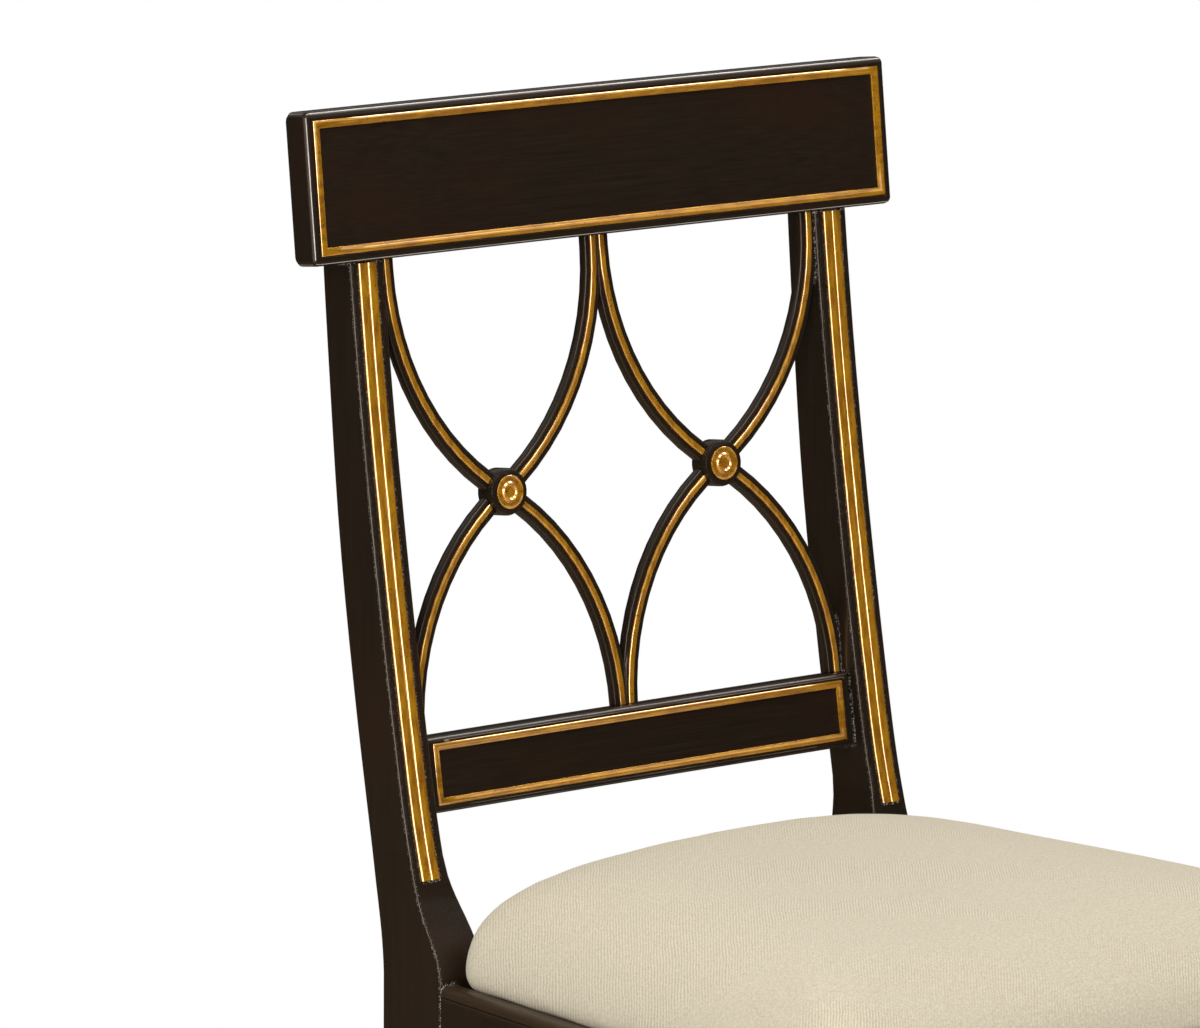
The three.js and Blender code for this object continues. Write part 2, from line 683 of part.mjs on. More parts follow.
const sideLength = seatDepth / Math.cos(sideSplay);
const sideFrame = new THREE.Matrix4().makeTranslation(backHalfWidth, 0, 0)
  .multiply(new THREE.Matrix4().makeRotationZ(sideSplay));
const sideBlank = placed(loft([cut, -sideLength].map((y) => (
  lippedSection().map(([inward, z]) => new THREE.Vector3(-inward, y, z))
))), sideFrame);
const sideMiddle = seatRailThickness / 2;
const rearTenon = (room) => railTenon(
  backHalfWidth - sideMiddle - tenonThickness / 2, backHalfWidth - sideMiddle + tenonThickness / 2,
  -cut, tenonLength, room,
);
const frontTenon = (room) => railTenon(
  frontLegOuter - sideMiddle - tenonThickness / 2, frontLegOuter - sideMiddle + tenonThickness / 2,
  frontLegBack - tenonLength, frontLegBack + cut, room,
);
const sideRail = joined(less(
  sideBlank,
  block(0, 2 * frontLegOuter, -fit, crestLength, 0, postTop),
  block(0, 2 * frontLegOuter, -2 * seatDepth, frontLegBack + fit, 0, postTop),
), rearTenon(0), frontTenon(0));

const backRailHalf = postInner - fit;
const backRailSection = [
  [-lipWidth, seatRailBottom], [backRailLip, seatRailBottom], [backRailLip, seatRailTop - edgeEase],
  [backRailLip - edgeEase, seatRailTop], [0, seatRailTop], [0, shelf], [-lipWidth, shelf],
];
const backRailBlank = loft([-backRailHalf, backRailHalf].map((x) => (
  backRailSection.map(([y, z]) => new THREE.Vector3(x, y, z))
)));
const backTenon = (room) => railTenon(
  backRailHalf - cut, backRailHalf + tenonLength / 2,
  (backRailLip - tenonThickness) / 2, (backRailLip + tenonThickness) / 2, room,
);
const backRail = joined(backRailBlank, backTenon(0), mirrored(backTenon(0)));

const frontRailHalf = frontLegInner - fit;
const frontRailBlank = loft([-frontRailHalf, frontRailHalf].map((x) => (
  lippedSection().map(([inward, z]) => new THREE.Vector3(x, inward - seatDepth, z))
)));
const crossingTenon = (room) => railTenon(
  frontRailHalf - cut, frontRailHalf + tenonLength / 2,
  -seatDepth + edgeEase + lipGroove, -seatDepth + edgeEase + lipGroove + tenonThickness, room,
);
const frontRail = joined(frontRailBlank, crossingTenon(0), mirrored(crossingTenon(0)));

// The front legs: a square block at the seat frame above a sabre leg that sweeps forward.

const frontLine = depthLine([
  ...frontLegShares.map(([up, out]) => [up * seatRailBottom, -seatDepth - out * frontLegSweep]),
  [seatRailTop, -seatDepth],
]);
const frontLegHeights = [
  ...spread(0, seatRailBottom, Math.round(seatRailBottom / (2 * postStepHeight))), seatRailTop,
];
const frontLegBlank = loft(frontLegHeights.map((z) => {
  const grown = THREE.MathUtils.clamp(z / seatRailBottom, 0, 1);
  const width = THREE.MathUtils.lerp(frontFootWidth, frontLegWidth, grown);
  return easedRectangle(frontLegOuter - width, frontLegOuter, frontLine(z), frontLine(z) + width, edgeEase)
    .map(([x, y]) => new THREE.Vector3(x, y, z));
}));
const frontLeg = less(
  frontLegBlank, frontTenon(fit), crossingTenon(fit),
  block(frontLegInner - cut, frontLegOuter - lipWidth, -seatDepth + lipWidth, frontLegBack + cut,
    shelf, seatRailTop + cut),
);

// The corner blocks are glued into the corners, flush with the rebate, and take the seat's screws.

/** Where the inner face of the right side rail lies at a depth. */
function sideInnerAt(y) {
  return backHalfWidth - y * Math.tan(sideSplay) - seatRailThickness / Math.cos(sideSplay);
}

/** A flat piece of the given outline, from one height to another. */
function plate(outline, z0, z1, holes = []) {
  const shape = new THREE.Shape(outline.map(([x, y]) => new THREE.Vector2(x, y)));
  for (const [x, y] of holes) {
    shape.holes.push(new THREE.Path().absarc(x, y, screwRadius + fit, 0, 2 * Math.PI, true));
  }
  const solid = new THREE.ExtrudeGeometry(shape, { depth: z1 - z0, bevelEnabled: false, curveSegments: 6 });
  return solid.translate(0, 0, z0);
}

const blockTop = shelf;
const blockBottom = shelf - blockHeight;
const rearBlockFace = -lipWidth - fit;
const rearBlock = [
  [sideInnerAt(rearBlockFace) - fit, rearBlockFace], [sideInnerAt(rearBlockFace) - blockLeg, rearBlockFace],
  [sideInnerAt(rearBlockFace) - blockLeg, rearBlockFace - blockTip],
  [sideInnerAt(rearBlockFace - blockLeg) - fit - blockTip, rearBlockFace - blockLeg],
  [sideInnerAt(rearBlockFace - blockLeg) - fit, rearBlockFace - blockLeg],
];
const frontBlockFace = -seatDepth + seatRailThickness + fit;
const legFace = frontLegBack + fit;
const frontBlock = [
  [frontLegInner - fit, frontBlockFace], [frontLegInner - fit, legFace], [sideInnerAt(legFace) - fit, legFace],
  [sideInnerAt(legFace + blockLeg) - fit, legFace + blockLeg],
  [sideInnerAt(legFace + blockLeg) - fit - blockTip, legFace + blockLeg],
  [frontLegInner - blockLeg, frontBlockFace + blockTip], [frontLegInner - blockLeg, frontBlockFace],
];
const rearScrew = [sideInnerAt(rearBlockFace) - blockLeg / 3, rearBlockFace - blockLeg / 3];
const frontScrew = [frontLegInner - blockLeg / 4, legFace + blockLeg / 4];

/** A screw with its head at the bottom of a block, pointing up, at the given place. */
function seatScrew([x, y]) {
  const tip = blockTop + screwBite;
  const profile = [
    [0, blockBottom - fit - screwHeadHeight], [screwHeadRadius * 0.7, blockBottom - fit - screwHeadHeight],
    [screwHeadRadius, blockBottom - fit - screwHeadHeight / 3], [screwHeadRadius, blockBottom - fit],
    [screwRadius, blockBottom - fit], [screwRadius, tip - screwRadius], [0, tip],
  ];
  const turned = new THREE.LatheGeometry(profile.map(([r, z]) => new THREE.Vector2(r, z)), screwSteps);
  return turned.rotateX(Math.PI / 2).translate(x, y, 0);
}

// The drop-in seat: a plywood board under a crowned cushion.

/** The corners of the seat's outline, moved in by a share of its reaches and then out by a swell. */
function seatCorners(share, swell) {
  const side = lipWidth / Math.cos(sideSplay) + cushionGap + share * cushionSideReach - swell;
  const back = -cushionBackGap - share * cushionBackReach + swell;
  const front = -seatDepth + lipWidth + cushionGap + share * cushionFrontReach - swell;
  const xAt = (y) => backHalfWidth - y * Math.tan(sideSplay) - side;
  return [[xAt(front), front], [xAt(back), back], [-xAt(back), back], [-xAt(front), front]];
}

/** The seat's outline with round corners, as points in the same order at every share. */
function seatOutline(share, swell, corner, pull) {
  const corners = seatCorners(share, swell).map(([x, y]) => new THREE.Vector2(x, y));
  const points = [];
  corners.forEach((here, i) => {
    const before = corners[(i + 3) % 4];
    const after = corners[(i + 1) % 4];
    const toBefore = before.clone().sub(here);
    const toAfter = after.clone().sub(here);
    const reach = Math.min(corner, toBefore.length() * 0.48, toAfter.length() * 0.48);
    const start = here.clone().addScaledVector(toBefore.normalize(), reach);
    const end = here.clone().addScaledVector(toAfter.clone().normalize(), reach);
    const arc = new THREE.QuadraticBezierCurve(start, here, end);
    points.push(...arc.getPoints(cornerSteps));
    const nextReach = Math.min(corner, toAfter.length() * 0.48);
    const along = toAfter.clone().normalize();
    const stop = after.clone().addScaledVector(along, -nextReach);
    const inward = new THREE.Vector2(-along.y, along.x);
    const ways = pull ? spread(0, 1, sideSteps).slice(1, -1) : [];
    points.push(...ways.map((way) => (
      end.clone().lerp(stop, way).addScaledVector(inward, pull * 4 * way * (1 - way))
    )));
  });
  return points;
}

const boardBottom = shelf + fit;
const boardTop = boardBottom + boardThickness;
const cushionBottom = boardTop + fit;
const screwPlaces = [rearScrew, frontScrew].flatMap(([x, y]) => [[x, y], [-x, y]]);
const board = plate(
  seatOutline(0, -edgeEase, cushionCorner, 0).map((p) => [p.x, p.y]), boardBottom, boardTop, screwPlaces,
);
const cushionRings = [
  seatOutline(0, -cushionSwell, cushionCorner, sidePull)
    .map((p) => new THREE.Vector3(p.x, p.y, cushionBottom)),
  seatOutline(0, 0, cushionCorner, sidePull)
    .map((p) => new THREE.Vector3(p.x, p.y, cushionBottom + fit)),
  ...cushionSectionShares.map(([inward, up]) => (
    seatOutline(inward, cushionSwell * (1 - inward), cushionCorner + inward * cushionSideReach,
      sidePull * (1 - inward))
      .map((p) => new THREE.Vector3(p.x, p.y, seatRailTop + up * cushionCrown))
  )),
];
const cushion = loft(cushionRings, 'fans');

// The crest's screws pass through the post heads from behind.

/** A turned solid across the crest, from [radius, distance behind the crest's back] points. */
function acrossCrest(profile, up) {
  const turned = new THREE.LatheGeometry(profile.map(([r, y]) => new THREE.Vector2(r, y)), screwSteps);
  const x = backHalfWidth - stileWidth / 2;
  return placed(turned.translate(x, crestThickness + bowAt(x, crestBow, crestLength), up), crestFrame);
}

const crestScrewBite = crestThickness - fieldDepth - 2 * edgeEase - cut;
const crestScrewHead = crestScrewLength - crestScrewBite;
const crestScrewProfile = [
  [0, -crestScrewBite], [screwRadius, -crestScrewBite + screwRadius],
  [screwRadius, crestScrewHead - screwHeadHeight], [screwHeadRadius, crestScrewHead - screwHeadHeight / 2],
  [screwHeadRadius, crestScrewHead], [0, crestScrewHead],
];
const crestScrewRoom = [
  [0, -crestScrewBite - fit], [screwRadius + fit, -crestScrewBite - fit],
  [screwRadius + fit, crestScrewHead - screwHeadHeight - fit],
  [screwHeadRadius + fit, crestScrewHead - screwHeadHeight / 2 - fit],
  [screwHeadRadius + fit, crestScrewLength + crestThickness], [0, crestScrewLength + crestThickness],
];
const screwLevels = [['upper', crestScrewSpacing / 2], ['lower', -crestScrewSpacing / 2]];
for (const [name, up] of screwLevels) {
  addPair(`crest_screw_${name}`, acrossCrest(crestScrewProfile, up), steel);
}
const crestScrewHoles = screwLevels.map(([, up]) => acrossCrest(crestScrewRoom, up));

// Each big piece gets its beds and mortises last.

const crestHousing = onCrest(
  slab(crestLength + 2 * fit, crestHeight + 2 * fit, -postDepth, crestThickness + fit),
);
const crest = less(
  onCrest(crestBlank), onCrest(crestField), ...crestPockets, ...crestPockets.map(mirrored),
  ...crestScrewHoles, ...crestScrewHoles.map(mirrored),
);
const cross = less(
  joined(onCross(crossBlank), crossTenon(0), mirrored(crossTenon(0))),
  onCross(crossField), ...crossPockets, ...crossPockets.map(mirrored),
);
const post = less(
  postBlank, reedGroove, crestHousing, crossTenon(fit), backTenon(fit), rearTenon(fit), ...crestScrewHoles,
);

addPiece('crest_rail', crest, ebonised);
addPiece('crest_bead', onCrest(crestBead), gilt);
addPair('rear_post', post, ebonised);
addPair('stile_reed', reed, gilt);
addPiece('cross_rail', cross, ebonised);
addPiece('cross_rail_bead', onCross(crossBead), gilt);
addPiece('seat_rail_back', backRail, ebonised);
addPair('seat_rail_side', sideRail, ebonised);
addPiece('seat_rail_front', frontRail, ebonised);
addPair('front_leg', frontLeg, ebonised);
addPair('corner_block_rear', plate(rearBlock, blockBottom, blockTop, [rearScrew]), beech);
addPair('corner_block_front', plate(frontBlock, blockBottom, blockTop, [frontScrew]), beech);
addPair('seat_screw_rear', seatScrew(rearScrew), steel);
addPair('seat_screw_front', seatScrew(frontScrew), steel);
addPiece('seat_board', board, plywood);
addPiece('seat_cushion', cushion, twill);

export default chair;
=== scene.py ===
"""Looks for a lyre back dining chair: ebonised hardwood, gilded beads and a cream drop-in seat.

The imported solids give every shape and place. This file welds and smooths a copy of each
wooden, gilded and steel piece, blows up the seat's own cloth cover, and gives each of
them a finish that starts from the real material. All lengths are in metres.
"""
from __future__ import annotations

import json
import logging
import math
from dataclasses import dataclass, field
from enum import Enum
from typing import ClassVar

import bmesh
import bpy
import numpy as np
from mathutils import Matrix, Vector

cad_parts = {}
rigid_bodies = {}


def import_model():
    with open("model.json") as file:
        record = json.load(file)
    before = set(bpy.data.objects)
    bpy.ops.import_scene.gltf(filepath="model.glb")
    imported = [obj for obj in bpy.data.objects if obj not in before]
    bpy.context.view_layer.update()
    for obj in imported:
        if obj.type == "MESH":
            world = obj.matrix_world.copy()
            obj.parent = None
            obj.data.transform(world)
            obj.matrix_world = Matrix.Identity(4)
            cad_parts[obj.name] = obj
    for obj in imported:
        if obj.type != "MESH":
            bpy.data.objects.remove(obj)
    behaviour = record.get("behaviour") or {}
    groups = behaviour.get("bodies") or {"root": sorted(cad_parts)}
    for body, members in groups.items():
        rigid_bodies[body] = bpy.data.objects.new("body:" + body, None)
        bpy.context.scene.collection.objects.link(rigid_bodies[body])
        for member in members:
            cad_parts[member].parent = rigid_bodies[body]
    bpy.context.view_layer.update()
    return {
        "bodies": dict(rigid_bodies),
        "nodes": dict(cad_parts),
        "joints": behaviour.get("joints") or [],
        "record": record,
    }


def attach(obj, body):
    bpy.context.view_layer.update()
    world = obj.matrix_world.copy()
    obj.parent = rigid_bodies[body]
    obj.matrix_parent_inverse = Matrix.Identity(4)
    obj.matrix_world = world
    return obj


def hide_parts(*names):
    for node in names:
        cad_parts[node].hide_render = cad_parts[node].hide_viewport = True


LOG = logging.getLogger("lyre_back_chair")

MM = 0.001
TURN = 2 * math.pi
BODY = "root"
SIDES = ("left", "right")
# Points closer than this are one point.
WELD = 0.002 * MM
# A wave texture of scale 1 repeats after this length.
WAVE_LENGTH = TURN / 20
# A number that runs from 0 to 1 across each eased edge, and is 0 everywhere else.
ARRIS = "across_arris"

# Sockets of the Mix node when it mixes colours.
FACTOR, FIRST, SECOND, MIXED = 0, 6, 7, 2

Colour = tuple[float, float, float, float]
WHITE: Colour = (1.0, 1.0, 1.0, 1.0)


def linear(hex_code: str) -> Colour:
    """Turns an sRGB hex colour into linear light.

    Args:
        hex_code: six hex digits, with or without a leading hash.

    Returns:
        The linear red, green, blue and an alpha of 1.
    """
    digits = hex_code.lstrip("#")
    channels = []
    for start in (0, 2, 4):
        value = int(digits[start:start + 2], 16) / 255
        channels.append(value / 12.92 if value <= 0.04045 else ((value + 0.055) / 1.055) ** 2.4)
    return (channels[0], channels[1], channels[2], 1.0)


def add_node(tree: bpy.types.NodeTree, kind: str, settings: dict | None = None,
             links: dict | None = None) -> bpy.types.Node:
    """Adds one node with its settings and links.

    Args:
        tree: the node tree that gets the node.
        kind: Blender's name for the node type, without its common prefix.
        settings: values by attribute name, socket name or socket number.
        links: output sockets by the name or number of the input that they feed.

    Returns:
        The new node.
    """
    node = tree.nodes.new("ShaderNode" + kind)
    for name, value in (settings or {}).items():
        if isinstance(name, str) and hasattr(node, name):
            setattr(node, name, value)
        else:
            node.inputs[name].default_value = value
    for name, socket in (links or {}).items():
        tree.links.new(socket, node.inputs[name])
    return node


def placed(name: str, data: bpy.types.ID) -> bpy.types.Object:
    """Puts a mesh, a camera or a lamp into the scene.

    Args:
        name: the new object's name.
        data: the mesh, camera or lamp that it shows.

    Returns:
        The new object.
    """
    thing = bpy.data.objects.new(name, data)
    bpy.context.scene.collection.objects.link(thing)
    return thing


def facing(place: tuple[float, float, float], target: tuple[float, float, float]) -> Matrix:
    """Stands a camera or a lamp at a place and turns it to its target.

    Args:
        place: where it stands.
        target: what it points at.

    Returns:
        The matrix that puts it there.
    """
    away = Vector(place) - Vector(target)
    return Matrix.Translation(place) @ away.to_track_quat("Z", "Y").to_matrix().to_4x4()


class Grain(Enum):
    """The direction in which a board's fibres run, as a world axis number."""

    ACROSS = 0
    DEPTH = 1
    UPRIGHT = 2


@dataclass(frozen=True)
class Finish:
    """What every finish has in common: a plain name and a way to become a material."""

    title: ClassVar[str] = "finish"
    slot: ClassVar[str] = ""

    def material(self, grain: Grain = Grain.UPRIGHT) -> bpy.types.Material:
        """Makes the material, or finds the one made before.

        Args:
            grain: the direction of the fibres, the brushing or the turning.

        Returns:
            The material with its nodes.
        """
        name = f"{self.title}, {grain.name.lower()}"
        found = bpy.data.materials.get(name)
        if found:
            return found
        made = bpy.data.materials.new(name)
        made.use_nodes = True
        made.node_tree.nodes.clear()
        shader = self.shade(made.node_tree, grain)
        add_node(made.node_tree, "OutputMaterial", links={"Surface": shader.outputs["BSDF"]})
        made.diffuse_color = self.plain_colour()
        return made

    def plain_colour(self) -> Colour:
        """The one colour that stands for the finish where nodes aren't shown."""
        return (0.5, 0.5, 0.5, 1.0)

    def shade(self, tree: bpy.types.NodeTree, grain: Grain) -> bpy.types.Node:
        """Builds the nodes up to the shader.

        Args:
            tree: the material's empty node tree.
            grain: the direction of the fibres, the brushing or the turning.

        Returns:
            The Principled node.
        """
        raise NotImplementedError

    @staticmethod
    def streaks(tree: bpy.types.NodeTree, grain: Grain, length: float,
                width: float, detail: float = 3.0) -> bpy.types.Node:
        """Draws noise that is drawn out along the grain.

        Args:
            tree: the node tree.
            grain: the direction that the streaks run in.
            length: how long a streak is.
            width: how wide a streak is.
            detail: how many finer layers of noise are added.

        Returns:
            The noise node, whose Factor runs from 0 to 1.
        """
        scale = [1 / width] * 3
        scale[grain.value] = 1 / length
        place = add_node(tree, "TexCoord")
        drawn = add_node(tree, "Mapping", {"Scale": scale}, {"Vector": place.outputs["Object"]})
        return add_node(tree, "TexNoise", {"Scale": 1.0, "Detail": detail, "Roughness": 0.55},
                        {"Vector": drawn.outputs["Vector"]})

    @staticmethod
    def blotches(tree: bpy.types.NodeTree, size: float, detail: float = 2.0) -> bpy.types.Node:
        """Draws even noise whose blobs are of one size.

        Args:
            tree: the node tree.
            size: how wide one blob is.
            detail: how many finer layers of noise are added.

        Returns:
            The noise node, whose Factor runs from 0 to 1.
        """
        place = add_node(tree, "TexCoord")
        return add_node(tree, "TexNoise", {"Scale": 1 / size, "Detail": detail},
                        {"Vector": place.outputs["Object"]})

    @staticmethod
    def eased(tree: bpy.types.NodeTree, radius: float) -> bpy.types.Node:
        """Rounds the shading of a piece's edges, as rubbing down does.

        Args:
            tree: the node tree.
            radius: how wide the rounding is.

        Returns:
            The bevel node, whose Normal is the rounded one.
        """
        return add_node(tree, "Bevel", {"samples": 6, "Radius": radius})

    @staticmethod
    def arrises(tree: bpy.types.NodeTree, share: float) -> bpy.types.Node:
        """Finds the middle of every eased edge, where a painted highlight goes.

        Args:
            tree: the node tree.
            share: the part of the eased edge's width that is rubbed.

        Returns:
            A node whose Result is 1 on a front arris, less at the back, and 0 off it, so the painted
            highlight is strongest on arrises that face the front.
        """
        across = add_node(tree, "Attribute", {"attribute_name": ARRIS})
        off = add_node(tree, "Math", {"operation": "SUBTRACT", 1: 0.5},
                       {0: across.outputs["Fac"]})
        away = add_node(tree, "Math", {"operation": "ABSOLUTE"}, {0: off.outputs["Value"]})
        surface = add_node(tree, "NewGeometry")
        axes = add_node(tree, "SeparateXYZ", links={0: surface.outputs["True Normal"]})
        ahead = add_node(tree, "MapRange", {"From Max": -0.4, "To Min": 0.2},
                         {"Value": axes.outputs["Y"]})
        return add_node(tree, "MapRange", {"From Min": share * 0.7, "From Max": share * 0.3},
                        {"Value": away.outputs["Value"], "To Max": ahead.outputs["Result"]})


@dataclass(frozen=True)
class EbonisedHardwood(Finish):
    """Beech stained black-brown, brushed with dark polish and brought to a satin.

    The stain leaves red-brown clouds, the brush leaves fine streaks along the board,
    and a paler line along the arrises is a painted highlight.
    """

    title: ClassVar[str] = "ebonised beech, brushed polish"
    slot: ClassVar[str] = "ebonised_wood"

    stain: str = "#1e160f"
    streak: str = "#2a2117"
    cloud: str = "#2b1910"
    # The colour of the pale line painted along each arris: a painted highlight.
    arris_highlight: str = "#a0978b"
    handled_lip: str = "#3d2f21"
    # White specks painted in the quirks: painted glints.
    glint: str = "#dcd8d0"
    streak_length: float = 70 * MM
    # Real brush marks are 0.3 mm wide; drawn twice as coarse so that the render shows them.
    streak_width: float = 0.7 * MM
    cloud_length: float = 105 * MM
    cloud_width: float = 42 * MM
    pore_length: float = 5 * MM
    pore_width: float = 0.5 * MM
    pore_depth: float = 0.06 * MM
    edge: float = 0.6 * MM
    highlight_patch_length: float = 60 * MM
    highlight_patch_width: float = 12 * MM
    arris_share: float = 0.12
    # Where the painted arris highlight is patchy, at least this much of it is left.
    least_arris_highlight: float = 0.2
    quirk: float = 2.2 * MM
    # The size of the painted glints in the quirks.
    glint_size: float = 0.9 * MM
    glint_amount: float = 0.0
    roughness: float = 0.36
    specular: float = 0.26
    # The polish is brown, so that what it reflects square on is brown as well.
    tint: str = "#f0cfae"
    coat: float = 0.28
    coat_roughness: float = 0.13
    # How high a rounded lip starts, on a rail that has one.
    lip_height: float = 0.0
    lip_fade: float = 2.5 * MM

    def plain_colour(self) -> Colour:
        """The stain's colour."""
        return linear(self.streak)

    def shade(self, tree: bpy.types.NodeTree, grain: Grain) -> bpy.types.Node:
        """Builds stain, brush streaks, clouds, pores and a painted highlight along the arrises.

        Args:
            tree: the material's empty node tree.
            grain: the direction of the fibres.

        Returns:
            The Principled node.
        """
        brushed = self.streaks(tree, grain, self.streak_length, self.streak_width)
        lines = add_node(tree, "MapRange", {"From Min": 0.38, "From Max": 0.72},
                         {"Value": brushed.outputs[0]})
        clouds = self.streaks(tree, grain, self.cloud_length, self.cloud_width, 1.0)
        patches = add_node(tree, "MapRange", {"From Min": 0.5, "From Max": 0.75, "To Max": 0.75},
                           {"Value": clouds.outputs[0]})
        stained = add_node(tree, "Mix", {"data_type": "RGBA", FIRST: linear(self.stain),
                                         SECOND: linear(self.streak)},
                           {FACTOR: lines.outputs["Result"]})
        clouded = add_node(tree, "Mix", {"data_type": "RGBA", SECOND: linear(self.cloud)},
                           {FACTOR: patches.outputs["Result"], FIRST: stained.outputs[MIXED]})
        bevel = self.eased(tree, self.edge)
        # A painted highlight along the arrises, patchy along the grain.
        highlight_patches = self.streaks(tree, grain, self.highlight_patch_length, self.highlight_patch_width)
        patchy = add_node(tree, "MapRange", {"From Min": 0.38, "From Max": 0.62,
                                             "To Min": self.least_arris_highlight},
                          {"Value": highlight_patches.outputs[0]})
        arris_highlight = add_node(tree, "Math", {"operation": "MULTIPLY"},
                          {0: self.arrises(tree, self.arris_share).outputs["Result"],
                           1: patchy.outputs["Result"]})
        surface = add_node(tree, "Mix", {"data_type": "RGBA", SECOND: linear(self.arris_highlight)},
                           {FACTOR: arris_highlight.outputs["Value"], FIRST: clouded.outputs[MIXED]})
        if self.glint_amount:
            surface = self.quirk_glints(tree, surface)
        if self.lip_height:
            surface = self.handled(tree, surface)
        shine = add_node(tree, "MapRange", {"To Min": self.roughness - 0.07,
                                            "To Max": self.roughness + 0.09},
                         {"Value": brushed.outputs[0]})
        pores = self.streaks(tree, grain, self.pore_length, self.pore_width, 1.0)
        bump = add_node(tree, "Bump", {"Strength": 0.16, "Distance": self.pore_depth},
                        {"Height": pores.outputs[0], "Normal": bevel.outputs["Normal"]})
        return add_node(tree, "BsdfPrincipled",
                        {"IOR": 1.5, "Specular IOR Level": self.specular,
                         "Specular Tint": linear(self.tint), "Coat Weight": self.coat,
                         "Coat Roughness": self.coat_roughness},
                        {"Base Color": surface.outputs[MIXED], "Roughness": shine.outputs["Result"],
                         "Normal": bump.outputs["Normal"],
                         "Coat Normal": bevel.outputs["Normal"]})

    def quirk_glints(self, tree: bpy.types.NodeTree, below: bpy.types.Node) -> bpy.types.Node:
        """Adds white specks in the deep quirks: painted glints.

        Args:
            tree: the node tree.
            below: the mix node with the colour of the clean wood.

        Returns:
            The mix node with the painted glints in it as well.
        """
        # Painted glints: white specks where the quirk beside the gilding is deep.
        hollow = add_node(tree, "AmbientOcclusion", {"samples": 8, "Distance": self.quirk})
        deep = add_node(tree, "MapRange", {"From Min": 0.9, "From Max": 0.83},
                        {"Value": hollow.outputs["AO"]})
        glint_noise = self.blotches(tree, self.glint_size, 1.0)
        left = add_node(tree, "MapRange", {"From Min": 0.57, "From Max": 0.62,
                                           "To Max": self.glint_amount},
                        {"Value": glint_noise.outputs[0]})
        amount = add_node(tree, "Math", {"operation": "MULTIPLY"},
                          {0: deep.outputs["Result"], 1: left.outputs["Result"]})
        return add_node(tree, "Mix", {"data_type": "RGBA", SECOND: linear(self.glint)},
                        {FACTOR: amount.outputs["Value"], FIRST: below.outputs[MIXED]})

    def handled(self, tree: bpy.types.NodeTree, below: bpy.types.Node) -> bpy.types.Node:
        """Adds the browning that hands and cloth leave over a rail's rounded lip.

        Args:
            tree: the node tree.
            below: the mix node with the colour of the rest of the rail.

        Returns:
            The mix node with the lip's colour in it as well.
        """
        place = add_node(tree, "TexCoord")
        axes = add_node(tree, "SeparateXYZ", links={0: place.outputs["Object"]})
        above = add_node(tree, "MapRange", {"From Min": self.lip_height,
                                            "From Max": self.lip_height + self.lip_fade,
                                            "To Max": 0.85}, {"Value": axes.outputs["Z"]})
        return add_node(tree, "Mix", {"data_type": "RGBA", SECOND: linear(self.handled_lip)},
                        {FACTOR: above.outputs["Result"], FIRST: below.outputs[MIXED]})


@dataclass(frozen=True)
class HandledRail(EbonisedHardwood):
    """The same polish where hands and cloth have browned the rail's rounded lip."""

    title: ClassVar[str] = "ebonised beech, polish worn at the lip"

    specular: float = 0.2
    coat: float = 0.14


@dataclass(frozen=True)
class GlintingQuirks(EbonisedHardwood):
    """The same polish with white specks painted in the quirks beside the gilding, as painted glints.
    """

    title: ClassVar[str] = "ebonised beech, wax in the quirks"

    # A greyer painted highlight along the arrises.
    arris_highlight: str = "#887e72"
    arris_share: float = 0.09
    # How much of the painted glints in the quirks shows.
    glint_amount: float = 0.95


@dataclass(frozen=True)
class HighlitTablet(EbonisedHardwood):
    """The same polish on the crest, with a near-white painted highlight along its arrises."""

    title: ClassVar[str] = "ebonised beech, arrises rubbed back"

    # A near-white painted highlight along the crest's arrises.
    arris_highlight: str = "#f4f1ea"
    arris_share: float = 0.22
    least_arris_highlight: float = 0.6


@dataclass(frozen=True)
class BentArm(EbonisedHardwood):
    """The same polish on thin bent pieces, with more shine and a dimmer painted highlight on the
    arrises.
    """

    title: ClassVar[str] = "ebonised beech, bent and polished"

    # A dim painted highlight along the arrises.
    arris_highlight: str = "#4f483f"
    specular: float = 0.36


